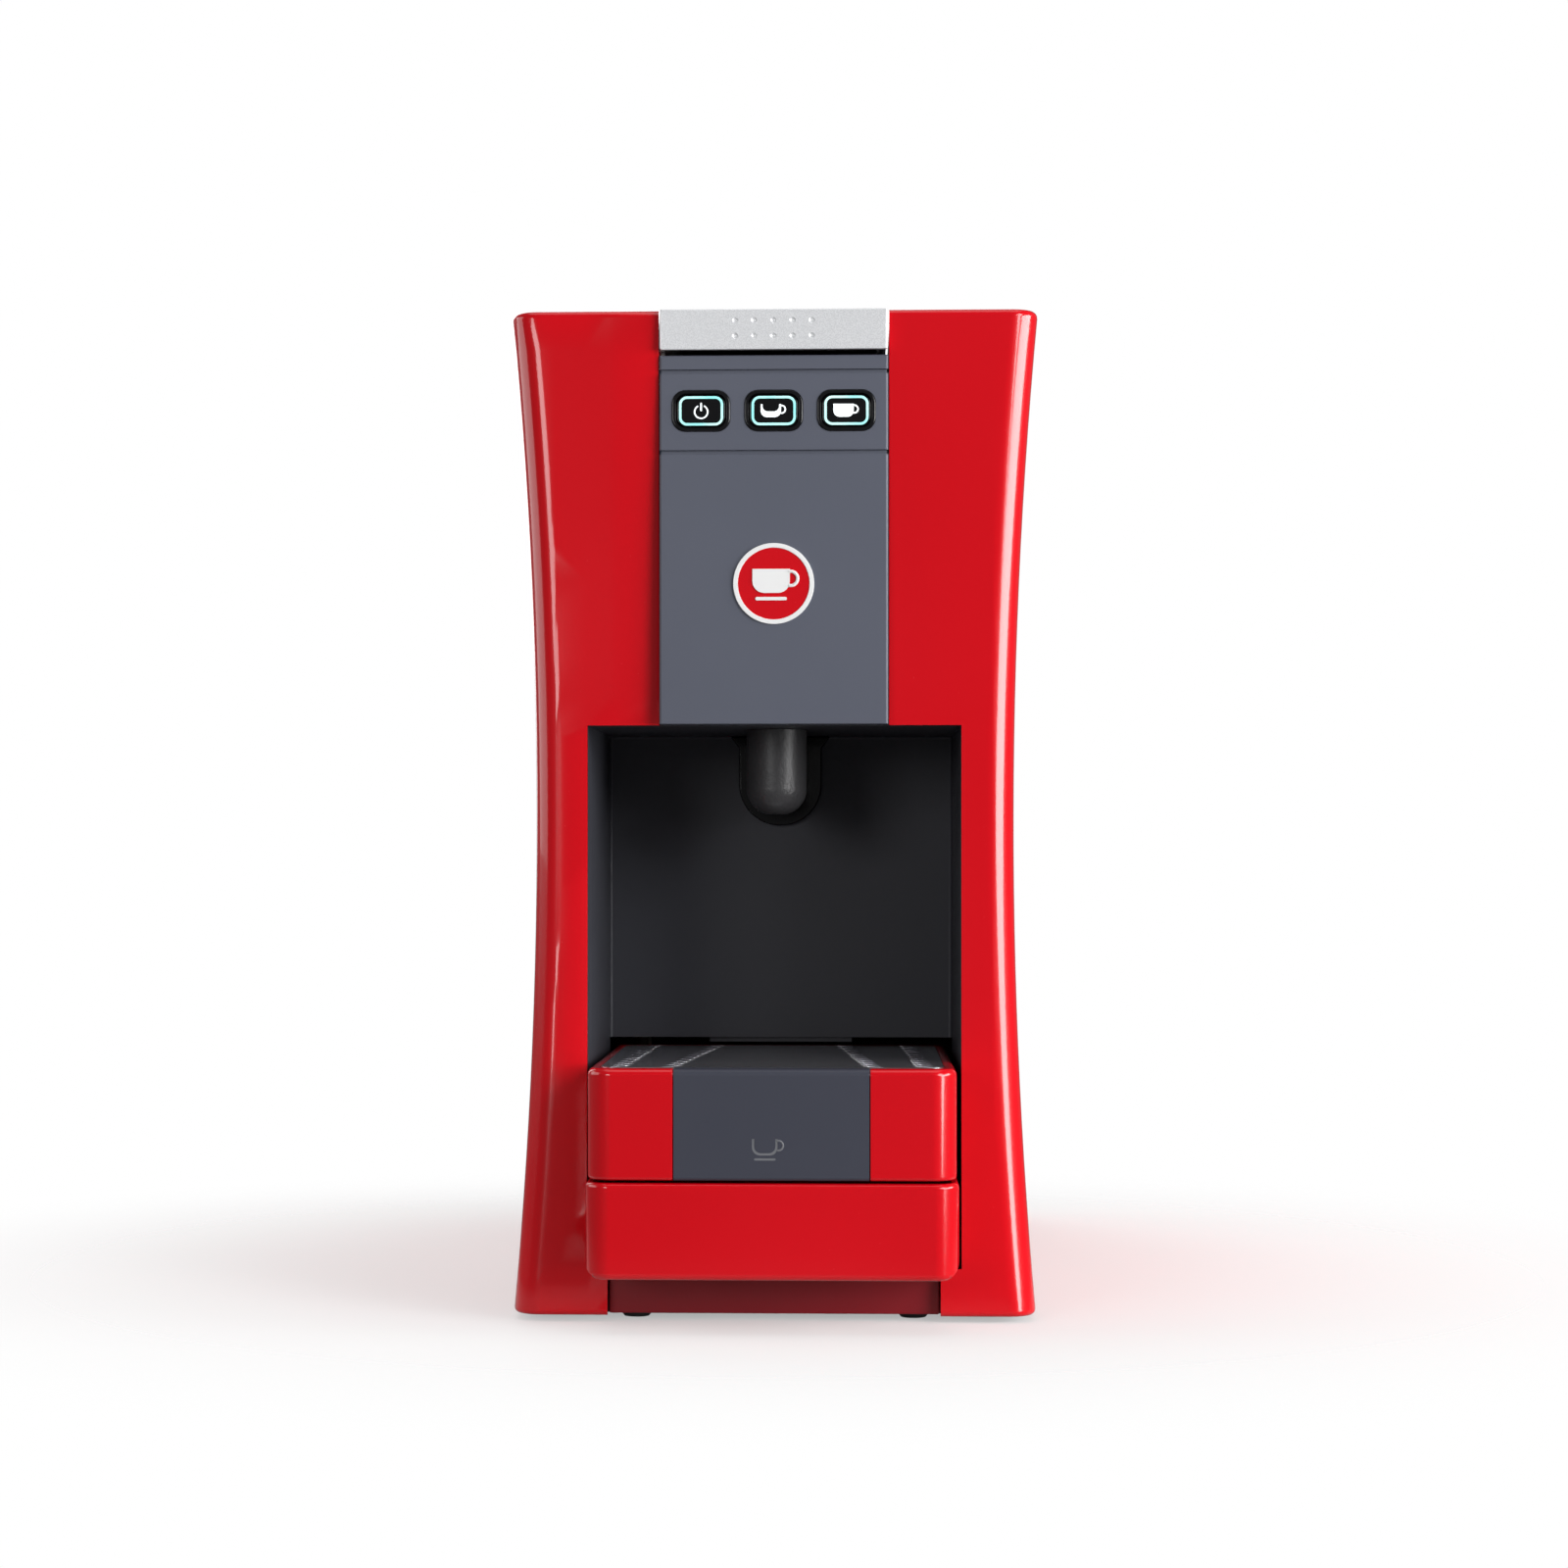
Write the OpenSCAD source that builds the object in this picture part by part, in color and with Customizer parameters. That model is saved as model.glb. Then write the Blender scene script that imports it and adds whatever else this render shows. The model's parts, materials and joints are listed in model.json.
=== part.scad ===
// Pod coffee machine: two waisted side shells round a narrow centre band, with a lever on top,
// a cup niche in front, a lift-off cup stand on a pull-out drawer, and a lift-out tank behind.
// Millimetres. X to the right, Y to the back, Z up. The origin is on the table, under the middle.

/* [Body] */
// Overall width, at the top corners
body_w = 170; // [168:1:174]
// Overall depth, from the cup stand's front to the back
body_d = 376; // [374:1:390]
// Overall height
body_h = 325; // [325:1:327]
// Half width at the waist
waist_half = 77.4; // [77:0.1:78.5]
// Height of the waist above the table
waist_z = 160; // [155:1:165]
// How far the front of each shell is hollowed at mid height
front_sag = 4.5; // [2:0.5:5]
// Radius of the upright edges of the shells
edge_r = 9; // [7:0.5:10]
// Wall thickness of the shells
shell_wall = 3; // [2.5:0.5:3.5]
// How far the cup stand and drawer reach in front of the shells
tray_reach = 33; // [30:1:36]

/* [Niche] */
// Half width of the cup niche
niche_half = 60.25; // [60:0.25:61]
// Height of the niche's ceiling
niche_top = 191.8; // [190:0.1:193]
// Depth of the niche behind the shell front
niche_depth = 107; // [106:0.5:107]
// Half width of the spout nose
nose_r = 10; // [8:0.5:11]
// Height of the nose's lowest point
nose_z = 163; // [160:0.5:168]

/* [Centre band] */
// Half width of the centre band
band_half = 36.7; // [36.5:0.1:36.8]
// Height of the band's top edge
band_top = 310.4; // [310:0.1:311]
// Heights of the two grooves across the band
groove_z = [279.2, 305.1];

/* [Buttons] */
// Distance between neighbouring buttons
button_pitch = 23.3; // [22:0.1:24]
// Height of the buttons' centres
button_z = 292.5; // [291:0.5:293]
// How far a button travels when it is pressed
button_travel = 1.2; // [0.8:0.1:1.3]

/* [Lever] */
// Distance of the lever's pivot behind the middle
pivot_y = 30; // [29:0.5:31]
// Height of the lever's pivot
pivot_z = 297; // [297:0.5:297.5]
// Half width of the lever cover
lever_half = 36.6; // [36:0.1:36.7]
// Height of the lever's front lip
lip_h = 13; // [11:0.5:13.4]
// Pitch radius of the lever gear
gear_r = 16; // [16:0.1:16.1]
// Teeth that a whole lever gear would have
gear_teeth = 20; // [20:1:20]

/* [Drawer and cup stand] */
// Half width of the cup stand
stand_half = 57.8; // [57:0.1:58]
// Height of the cup stand's top
stand_top = 83.4; // [82:0.1:84]
// Height of the joint between drawer and cup stand
stand_z = 48.5; // [47:0.1:49]
// Half width of the drawer
drawer_half = 58.6; // [58:0.1:59]
// Height of the drawer's underside
drawer_z = 17.3; // [17.2:0.1:18]
// Half width of the grey insert in the cup stand's front
insert_half = 30.5; // [28:0.5:34]

/* [Water tank] */
// Half width of the tank
tank_half = 69.5; // [66:0.5:69.5]
// Height of the tank's floor
tank_z = 38.5; // [38.5:0.5:40]
// Wall thickness of the tank
tank_wall = 2.2; // [2:0.1:3]

/* [Hidden] */
$fn = 72;

// Colours
red = [0.78, 0.03, 0.06];
slate = [0.35, 0.37, 0.42];
silver = [0.80, 0.81, 0.83];
black = [0.05, 0.05, 0.06];
steel = [0.62, 0.63, 0.65];
white = [0.92, 0.94, 0.94];
smoke = [0.30, 0.32, 0.36, 0.6];

// Main planes
front_y = -body_d / 2;
back_y = body_d / 2;
shell_y = front_y + tray_reach;
niche_y = shell_y + niche_depth;
duct_y = niche_y - 64;
foot_h = 2;
shell_mid_z = (body_h + foot_h) / 2;
big = 400;

// The waist is an arc in the front view, and the shell front an arc in the side view
side_sag = body_w / 2 - waist_half;
side_rise = body_h - waist_z;
side_r = (side_rise * side_rise + side_sag * side_sag) / (2 * side_sag);
side_x = waist_half + side_r;
side_fn = 720;
front_rise = (body_h - foot_h) / 2;
front_r = (front_rise * front_rise + front_sag * front_sag) / (2 * front_sag);
front_fn = 1440;
shell_reach = 53;

// Centre channel, rear bay and shell flanges
channel_half = 37;
channel_flange = 2;
channel_z = 311;
plinth_half = 53.5;
bay_y = 118;
bay_half = 70.5;
liner_wall = 2;
panel_y = shell_y - 0.4;
panel_back = shell_y + 7.6;
base_top = 8;
rear_wall = 3;
screw_r = 1.8;
screw_x = 74;
screw_y = [-120, 0, 108];

// Lever
lever_y = shell_y - 2;
lever_wall = 3;
barrel_r = body_h - pivot_z;
barrel_end = 25;
cover_gap = 1;
cover_y = 57;
shaft_r = 4;
arm_x = 33;
arm_w = 3;
frame_x = 38;
frame_w = 3;
dimple_pitch = [6.15, 4.95];
dimple_z = 316.3;

// Lever gear and rack: the same module, 20 degrees pressure angle, a little backlash
gear_x = 26;
gear_w = 6;
tooth_m = 2 * gear_r / gear_teeth;
tooth_pitch = PI * tooth_m;
pressure = 20;
backlash = 0.3;
tooth_w = tooth_pitch / 2 - backlash;
gear_base = gear_r * cos(pressure);
gear_tip = gear_r + tooth_m;
gear_root = gear_r - 1.25 * tooth_m;
flank_end = sqrt(pow(gear_tip / gear_base, 2) - 1) * 180 / PI;
flank_steps = 6;
flank_start = (tooth_w / 2 / gear_r + tan(pressure) - pressure * PI / 180) * 180 / PI;
rack_z = pivot_z - gear_r;
rack_end = 56;

// Brew group
head_y = -25;
capsule_r = 20.5;
brew_z = 260;
carriage_half = 24;
carriage_front = -75;
carriage_gap = 0.2;
ear_x = 32;
rod_x_pos = 28;
rod_z_pos = 246;
rod_r = 3;
run_fit = 0.05;
slot_half = 22;
slot_y = [-47.5, -24.5];
deck_z = 306;

// Pump and hoses
pump_y = 80;
pump_z = 50;
meter_y = 60;
hose_x = 58;
hose_z = 18;
hose_r = 4;

// Tank
tank_y = bay_y + 0.5;
tank_back = back_y - 1.5;
lid_z = 320;
lid_pin_y = tank_back - 4;
lid_pin_z = 321;
lid_pin_r = 1.5;
lug_x = 60;
valve_y = 150;

// ---- helpers -------------------------------------------------------------------------------

// Box between two corners
module box(lo, hi) {
    translate(lo) cube(hi - lo);
}

// Box that is mirrored about the middle: x runs from -half to half
module wide_box(half, y0, y1, z0, z1) {
    box([-half, y0, z0], [half, y1, z1]);
}

// Extrudes an outline drawn in (y, z) along X
module along_x(x0, x1) {
    translate([x0, 0, 0]) rotate([90, 0, 90]) linear_extrude(x1 - x0) children();
}

// Extrudes an outline drawn in (x, z) along Y
module along_y(y0, y1) {
    translate([0, y1, 0]) rotate([90, 0, 0]) linear_extrude(y1 - y0) children();
}

// Cylinder along X, along Y and along Z
module rod_x(x0, x1, y, z, r) {
    translate([x0, y, z]) rotate([0, 90, 0]) cylinder(r = r, h = x1 - x0);
}

module rod_y(y0, y1, x, z, r) {
    translate([x, y0, z]) rotate([-90, 0, 0]) cylinder(r = r, h = y1 - y0);
}

module rod_z(z0, z1, x, y, r) {
    translate([x, y, z0]) cylinder(r = r, h = z1 - z0);
}

// Both mirror images of a child
module both_sides() {
    children();
    mirror([1, 0, 0]) children();
}

// Rectangle with rounded corners, centred
module rounded(w, h, r) {
    square([w - 2 * r, h], center = true);
    square([w, h - 2 * r], center = true);
    for (x = [-1, 1], y = [-1, 1])
        translate([x * (w / 2 - r), y * (h / 2 - r)]) circle(r);
}

// Plan outline with its two front corners rounded
module front_rounded(half, y0, y1, r) {
    translate([-half, y0 + r]) square([2 * half, y1 - y0 - r]);
    translate([-half + r, y0]) square([2 * (half - r), y1 - y0]);
    for (x = [-1, 1]) translate([x * (half - r), y0 + r]) circle(r);
}

// Pipe through a list of points, with a ball at each bend
module pipe(points, r) {
    for (i = [0 : len(points) - 2]) {
        run = points[i + 1] - points[i];
        translate(points[i]) rotate([0, acos(run.z / norm(run)), atan2(run.y, run.x)])
            cylinder(r = r, h = norm(run));
    }
    for (i = [1 : len(points) - 2]) translate(points[i]) sphere(r);
}

// ---- side shells ---------------------------------------------------------------------------

// Plan section of a shell, measured from the waist arc's centre
module shell_section(wall) {
    r = edge_r - wall;
    near = side_r + wall;
    y0 = shell_y + wall;
    y1 = back_y - wall;
    translate([near + r, y0]) square([shell_reach - r, y1 - y0]);
    translate([near, y0 + r]) square([shell_reach, y1 - y0 - 2 * r]);
    for (y = [y0 + r, y1 - r]) translate([near + r, y]) circle(r);
}

// The section swept round the waist arc and hollowed in front: wall = 0 gives the outside
module shell_body(wall) {
    sweep = 14;
    difference() {
        translate([side_x, 0, waist_z]) rotate([-90, 0, 0]) rotate([0, 0, 180 - sweep / 2])
            rotate_extrude(angle = sweep, $fn = side_fn) shell_section(wall);
        front_hollow(wall);
    }
}

// Everything in front of the hollowed shell front
module front_hollow(wall) {
    translate([0, shell_y + front_sag - front_r, shell_mid_z]) rotate([0, 90, 0])
        cylinder(r = front_r + wall, h = 100, $fn = front_fn);
}

// Everything outside the shells' inner faces, less a gap, for the pieces that fit between them
module outside_shells(gap) {
    both_sides() translate([side_x, -big, waist_z]) rotate([-90, 0, 0])
        cylinder(r = side_r + shell_wall + gap, h = 2 * big, $fn = side_fn * 2);
}

module shell() {
    difference() {
        intersection() {
            shell_body(0);
            box([channel_half, shell_y - 1, foot_h], [body_w, back_y + 1, body_h]);
        }
        difference() {
            shell_body(shell_wall);
            box([0, -big, body_h - shell_wall], [body_w, big, body_h + 10]);
        }
        box([0, -big, drawer_z], [niche_half, niche_y, niche_top]);
        box([0, -big, 0], [plinth_half, niche_y, drawer_z]);
        box([0, bay_y, 0], [bay_half, big, body_h + 1]);
    }
    box([channel_half, panel_back + 0.4, channel_z],
        [channel_half + channel_flange, bay_y - 4.3, body_h - shell_wall]);
    intersection() {
        shell_body(1);
        difference() {
            for (y = screw_y) {
                boss = 10;
                box([screw_x - boss / 2, y - boss / 2, base_top], [body_w / 2, y + boss / 2, base_top + 16]);
            }
            for (y = screw_y) rod_z(0, 20, screw_x, y, screw_r);
        }
    }
}

module right_shell() color(red) shell();

module left_shell() color(red) mirror([1, 0, 0]) shell();

// Six screws that hold the shells to the base plate from below
module shell_screws() {
    color(steel) both_sides() for (y = screw_y) {
        rod_z(foot_h + 0.5, 5, screw_x, y, 3.5);
        rod_z(5, 19, screw_x, y, screw_r);
    }
}

// ---- fixed covers --------------------------------------------------------------------------

// Centre band, with two grooves and three openings for the button bezels
module front_panel() {
    groove = 1.2;
    color(slate) difference() {
        wide_box(band_half, panel_y, panel_back, niche_top + 0.3, band_top);
        wide_box(band_half - 2, panel_y + 3, panel_back + 1, niche_top - 1, band_top - 2);
        for (z = groove_z) wide_box(body_w, panel_y - 1, panel_y + 0.9, z - groove / 2, z + groove / 2);
        button_places() along_y(panel_y - 1, panel_back) rounded(18.8, 13.4, 4.5);
    }
}

// The three button places across the band
module button_places() {
    for (i = [-1 : 1]) translate([i * button_pitch, 0, button_z]) children();
}

module button_bezels() {
    color(black) button_places() along_y(panel_y - 0.4, panel_y + 6) difference() {
        rounded(18.8, 13.4, 4.5);
        rounded(16.4, 11, 3.4);
    }
}

module front_plinth() {
    color(red) difference() {
        wide_box(plinth_half - 0.3, shell_y + 4.5, shell_y + 17, foot_h + 0.3, drawer_z - 0.3);
        wide_box(plinth_half - 3, shell_y + 7.5, shell_y + 18, base_top, drawer_z - 3);
        wide_box(big, shell_y + 9, shell_y + 18, 0, base_top);
    }
}

module base_plate() {
    rail_x = 44;
    color(black) {
        difference() {
            wide_box(body_w, shell_y + edge_r + 0.3, back_y - edge_r - 0.3, foot_h, base_top);
            outside_shells(0.4);
            both_sides() for (y = screw_y) {
                rod_z(0, 5, screw_x, y, 3.5);
                rod_z(0, 10, screw_x, y, screw_r);
            }
            foot_places() rod_z(0, 6, 0, 0, 2.5);
        }
        both_sides() box([rail_x, shell_y + 20, base_top], [rail_x + 4, pivot_y, drawer_z - 0.3]);
    }
}

// The four feet's places
module foot_places() {
    for (x = [-45, 45], y = [-138, 168]) translate([x, y, 0]) children();
}

module feet() {
    color(black) foot_places() {
        cylinder(r1 = 4, r2 = 6, h = foot_h);
        cylinder(r = 2.5, h = 6);
    }
}

module rear_panel() {
    color(black) difference() {
        wide_box(body_w, bay_y - 4, bay_y - 4 + rear_wall, base_top, body_h - shell_wall - 0.5);
        outside_shells(0.4);
        rod_y(bay_y - 5, bay_y, hose_x, hose_z, hose_r);
    }
}

// Cover behind the lever, with a front wall that follows the lever's barrel
module top_cover() {
    color(slate) difference() {
        union() {
            wide_box(band_half, cover_y, bay_y, body_h - 3, body_h);
            wide_box(band_half, cover_y, cover_y + 5.5, pivot_z, body_h - 2);
        }
        rod_x(-big / 2, big / 2, pivot_y, pivot_z, barrel_r + cover_gap);
    }
}

// Open box behind the shell front: side walls, ceiling and a back that stops above the capsule bin
module niche_liner() {
    side = niche_half + liner_wall;
    bin_top = 86;
    color(slate) difference() {
        wide_box(side, shell_y + 8, niche_y + liner_wall, base_top + 0.3, niche_top + liner_wall);
        wide_box(niche_half, -big, niche_y, 0, niche_top);
        wide_box(niche_half, -big, big, 0, bin_top);
        rod_z(niche_top - 1, niche_top + 5, 0, duct_y, 6);
    }
}

// Round-ended drip nose under the ceiling, with its arm to the back wall
module spout_nose() {
    drop = niche_top - 0.2;
    color(black) difference() {
        union() {
            translate([0, duct_y, nose_z + nose_r]) sphere(nose_r);
            rod_z(nose_z + nose_r, drop, 0, duct_y, nose_r);
            along_y(duct_y, niche_y - 3.4) {
                translate([0, nose_z + nose_r + 4]) circle(nose_r - 1);
                translate([1 - nose_r, nose_z + nose_r + 4]) square([2 * nose_r - 2, drop - nose_z - nose_r - 4]);
            }
        }
        rod_z(nose_z - 1, niche_top, 0, duct_y, 3);
        rod_z(nose_z + 14, niche_top, 0, duct_y, 5.2);
    }
}

// U-shaped collar on the back wall, round the nose's arm
module spout_collar() {
    half = 14.5;
    low = 160.5;
    color(black) along_y(niche_y - 3, niche_y) {
        translate([0, low + half]) circle(half);
        translate([-half, low + half]) square([2 * half, niche_top - low - half - 0.2]);
        polygon([[-half - 3, niche_top - 0.2], [half + 3, niche_top - 0.2], [half - 3, niche_top - 8],
            [3 - half, niche_top - 8]]);
    }
}

// Funnel and pipe that lead the coffee from the carriage to the nose
module coffee_duct() {
    pipe_z = 206;
    cup_y = -69;
    color(black) difference() {
        union() {
            pipe([[0, duct_y, nose_z + 15], [0, duct_y, pipe_z], [0, cup_y, pipe_z], [0, cup_y, pipe_z + 14]], 5);
            rod_z(pipe_z + 8, pipe_z + 20, 0, cup_y, 11);
        }
        pipe([[0, duct_y, nose_z + 10], [0, duct_y, pipe_z], [0, cup_y, pipe_z], [0, cup_y, pipe_z + 16]], 3.5);
        rod_z(pipe_z + 10, pipe_z + 22, 0, cup_y, 9.5);
    }
}

// Raised medallion with a plain cup on it
module emblem() {
    r = 13;
    z = 237;
    color(white) translate([0, 0, z]) {
        along_y(panel_y - 0.7, panel_y) difference() {
            circle(r);
            circle(r - 1.3);
        }
        along_y(panel_y - 0.5, panel_y) circle(r - 1.3);
        along_y(panel_y - 0.8, panel_y - 0.4) scale(2.2) cup_outline(1);
    }
}

// Side view of a plain cup: fill = 1 is solid, below 1 leaves a thin wall above the fill
module cup_outline(fill) {
    w = 5;
    h = 3.2;
    line = 0.45;
    difference() {
        cup_bowl(w, h);
        translate([0, line + fill * (h - line)]) cup_bowl(w - 2 * line, h);
    }
    translate([w / 2 - 0.2, 0.2]) difference() {
        circle(1.2);
        circle(1.2 - line);
        translate([-4 - line, -2]) square([4, 4]);
    }
}

module cup_bowl(w, h) {
    intersection() {
        translate([0, h - w / 2 - 0.1]) circle(w / 2);
        translate([-w / 2, -h / 2]) square([w, h]);
    }
}

// ---- lever ---------------------------------------------------------------------------------

module lever_cover() {
    top = body_h - lever_wall;
    color(silver) difference() {
        union() {
            wide_box(lever_half, lever_y, pivot_y, top, body_h);
            wide_box(lever_half, lever_y, lever_y + lever_wall, body_h - lip_h, body_h);
            along_x(-lever_half, lever_half) translate([pivot_y, pivot_z]) intersection() {
                difference() {
                    circle(barrel_r);
                    circle(barrel_r - lever_wall);
                }
                barrel_sector(40);
            }
        }
        for (i = [-2 : 2], j = [0, 1])
            translate([i * dimple_pitch.x, lever_y - 1.07, dimple_z + j * dimple_pitch.y]) sphere(1.5);
    }
}

// Sector behind the pivot that the barrel covers
module barrel_sector(r) {
    polygon([[0, 0], [0, r], [r, r], [r * cos(barrel_end), r * sin(barrel_end)]]);
}

module lever_arms() {
    top = body_h - lever_wall;
    color(steel) both_sides() along_x(arm_x, arm_x + arm_w) difference() {
        union() {
            polygon([[-145, top], [pivot_y, top], [pivot_y, pivot_z - 11], [pivot_y - 14, pivot_z - 9],
                [-50, top - 12.5], [-145, top - 8]]);
            translate([pivot_y, pivot_z]) circle(12);
            translate([pivot_y, pivot_z]) intersection() {
                circle(barrel_r - lever_wall);
                barrel_sector(40);
            }
        }
        translate([pivot_y, pivot_z]) circle(shaft_r);
    }
}

module lever_shaft() color(steel) rod_x(-frame_x - frame_w - 2, frame_x + frame_w + 2, pivot_y, pivot_z, shaft_r);

// Flanged bushes in the frame's side plates
module lever_bushes() {
    color(white) both_sides() difference() {
        union() {
            rod_x(frame_x, frame_x + frame_w, pivot_y, pivot_z, 6);
            rod_x(frame_x - 1.5, frame_x, pivot_y, pivot_z, 8);
        }
        rod_x(0, big / 2, pivot_y, pivot_z, shaft_r + run_fit);
    }
}

// Point on the involute of the gear's base circle, unwound by t degrees
function involute(t) = gear_base * [cos(t) + t * PI / 180 * sin(t), sin(t) - t * PI / 180 * cos(t)];
function turned(p, a) = [p.x * cos(a) - p.y * sin(a), p.x * sin(a) + p.y * cos(a)];
function flank() = [for (i = [0 : flank_steps]) turned(involute(flank_end * i / flank_steps), -flank_start)];

module gear_tooth() {
    lower = flank();
    upper = [for (i = [flank_steps : -1 : 0]) [lower[i].x, -lower[i].y]];
    foot = gear_root - 1;
    polygon(concat([[foot, lower[0].y]], lower, upper, [[foot, -lower[0].y]]));
}

// Two sectors that turn with the lever and drive the racks
module lever_gears() {
    first = -108;
    step = 360 / gear_teeth;
    color(steel) both_sides() along_x(gear_x, gear_x + gear_w) translate([pivot_y, pivot_z]) difference() {
        union() {
            circle(11);
            intersection() {
                circle(gear_root);
                polygon([[0, 0], 40 * [cos(first - 9), sin(first - 9)], [20, -40], [40, -20],
                    40 * [cos(27), sin(27)]]);
            }
            for (k = [0 : 7]) rotate(first + k * step) gear_tooth();
        }
        circle(shaft_r);
    }
}

// Toothed bars on the carriage: a gap lies under the pivot when the lever is shut
module rack_bars() {
    bar = 4;
    root = rack_z - 1.25 * tooth_m;
    hw = tooth_w / 2;
    color(steel) both_sides() along_x(gear_x, gear_x + gear_w) {
        translate([carriage_front + 5, root - bar]) square([rack_end - carriage_front - 5, bar]);
        for (k = [-2 : 4]) translate([pivot_y + (k + 0.5) * tooth_pitch, rack_z])
            polygon([[-hw - 1.3 * tooth_m * tan(pressure), -1.3 * tooth_m],
                [hw + 1.3 * tooth_m * tan(pressure), -1.3 * tooth_m],
                [hw - tooth_m * tan(pressure), tooth_m], [-hw + tooth_m * tan(pressure), tooth_m]]);
    }
}

// ---- brew group ----------------------------------------------------------------------------

module brew_frame() {
    front = -109;
    back = 50;
    low = niche_top + liner_wall + 0.2;
    color(steel) difference() {
        union() {
            both_sides() box([frame_x, front, low], [frame_x + frame_w, back, deck_z + 2]);
            wide_box(frame_x + 1, front, front + 3, 235, deck_z - 6);
            wide_box(frame_x + 1, back - 3, back, 226, 240);
        }
        rod_x(-big / 2, big / 2, pivot_y, pivot_z, 6);
        for (x = [-rod_x_pos, rod_x_pos]) rod_y(front - 1, front + 4, x, rod_z_pos, rod_r);
        for (y = [-85, -40, 5]) rod_x(-big / 2, big / 2, y, 215, 12);
    }
}

module guide_rods() {
    color(silver) for (x = [-rod_x_pos, rod_x_pos]) rod_y(-109, head_y + 7, x, rod_z_pos, rod_r);
}

// Sliding capsule holder, open towards the brew head
module capsule_carriage() {
    rear = head_y - carriage_gap;
    low = brew_z - 25;
    color(black) difference() {
        union() {
            wide_box(carriage_half, carriage_front, rear, low, brew_z + 25);
            wide_box(ear_x, carriage_front + 5, rear - 5, rod_z_pos - 6, rod_z_pos + 6);
            wide_box(ear_x, carriage_front + 5, rear - 5, rod_z_pos + 16, rack_z - 6);
            rod_z(low - 5, low, 0, -69, 4);
        }
        rod_y(rear - 28, rear + 1, 0, brew_z, capsule_r);
        rod_y(-69, rear - 20, 0, brew_z, 3);
        rod_z(low - 6, brew_z, 0, -69, 2);
        for (x = [-rod_x_pos, rod_x_pos]) rod_y(-100, 0, x, rod_z_pos, rod_r + run_fit);
    }
}

module brew_head() {
    front = head_y + 0.6;
    color(steel) difference() {
        union() {
            wide_box(carriage_half, front, 15, brew_z - 25, brew_z + 25);
            wide_box(frame_x - 0.1, head_y + 5, 10, rod_z_pos - 8, rod_z_pos + 8);
        }
        for (x = [-rod_x_pos, rod_x_pos]) rod_y(head_y, head_y + 7, x, rod_z_pos, rod_r);
        rod_y(head_y, head_y + 22, 0, brew_z, 2);
        difference() {
            rod_y(head_y, front + 1, 0, brew_z, 22);
            rod_y(head_y, front + 1, 0, brew_z, 18);
        }
    }
}

module brew_seal() {
    color(red) difference() {
        rod_y(head_y + 0.1, head_y + 1.6, 0, brew_z, 22);
        rod_y(head_y, head_y + 2, 0, brew_z, 18);
    }
}

// Duct behind the niche that drops a spent capsule into the bin
module capsule_chute() {
    color(slate) difference() {
        along_x(-25, 25) polygon([[-51, 230], [-14.5, 230], [-14.5, 84.3], [-45.8, 84.3], [-45.8, 196],
            [-51, 206]]);
        along_x(-23, 23) polygon([[-49, 231], [-16.5, 231], [-16.5, 83], [-44, 83], [-44, 197], [-49, 207]]);
    }
}

// Deck under the lever, with the slot and funnel that a fresh capsule drops through
module top_deck() {
    deck_half = 32.5;
    color(slate) difference() {
        union() {
            wide_box(deck_half, panel_back + 0.4, 8, deck_z, deck_z + 3);
            wide_box(slot_half + 1.8, slot_y[0] - 1.8, slot_y[1] + 1.8, brew_z + 27, deck_z);
            both_sides() box([12, -10, brew_z + 25], [15, 6, deck_z]);
        }
        wide_box(slot_half, slot_y[0], slot_y[1], brew_z, deck_z + 5);
    }
}

// ---- water system --------------------------------------------------------------------------

module thermoblock() {
    color(silver) difference() {
        union() {
            wide_box(32, 19, 46, 226, 266);
            wide_box(frame_x - 0.1, 22, 34, 244, 254);
        }
        for (z = [232 : 7 : 260]) wide_box(40, 40, 50, z, z + 3);
    }
}

module thermostats() {
    color(black) for (x = [-24, -8]) rod_z(266, 271, x, 30, 6);
}

module brew_hose() color(white) pipe([[12, 34, 264], [12, 34, 272], [12, 13, 272]], 2.5);

// Vibration pump lying across the base
module pump() {
    color(black) {
        wide_box(18, pump_y - 17, pump_y + 17, pump_z - 17, pump_z + 17);
        rod_x(18, 36, pump_y, pump_z, 8);
        rod_x(-42, -18, pump_y, pump_z, 8);
    }
}

module pump_mounts() {
    color(black) both_sides() difference() {
        rod_x(24, 30, pump_y, pump_z, 14);
        rod_x(20, 34, pump_y, pump_z, 8);
    }
}

module pump_bracket() {
    color(steel) {
        wide_box(30, pump_y - 18, pump_y + 18, base_top, base_top + 2);
        both_sides() difference() {
            box([25, pump_y - 18, base_top], [29, pump_y + 18, pump_z + 18]);
            rod_x(20, 34, pump_y, pump_z, 14);
        }
    }
}

module flow_meter() {
    color(white) {
        rod_z(base_top, 24, hose_x, meter_y, 13);
        rod_z(24, 27, hose_x, meter_y, 8);
    }
}

module suction_hose() {
    color(white) {
        pipe([[hose_x, bay_y + 2, hose_z], [hose_x, meter_y + 11, hose_z]], hose_r);
        pipe([[hose_x, meter_y, 26], [hose_x, meter_y, pump_z], [hose_x, pump_y, pump_z],
            [35, pump_y, pump_z]], hose_r);
    }
}

module pressure_hose() {
    riser = [-56, pump_y, 252];
    color(white) pipe([[-41, pump_y, pump_z], [riser.x, pump_y, pump_z], riser, [-20, pump_y, riser.z],
        [-20, 45, riser.z]], 3);
}

// ---- electrics -----------------------------------------------------------------------------

module control_board() {
    color([0.1, 0.35, 0.18]) {
        wide_box(34, shell_y + 17, shell_y + 18.6, 281, 304);
        button_places() box([-3, shell_y + 13, -3], [3, shell_y + 17, 3]);
        both_sides() rod_y(panel_y + 3, shell_y + 17, 31, 301, 2);
    }
}

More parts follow.
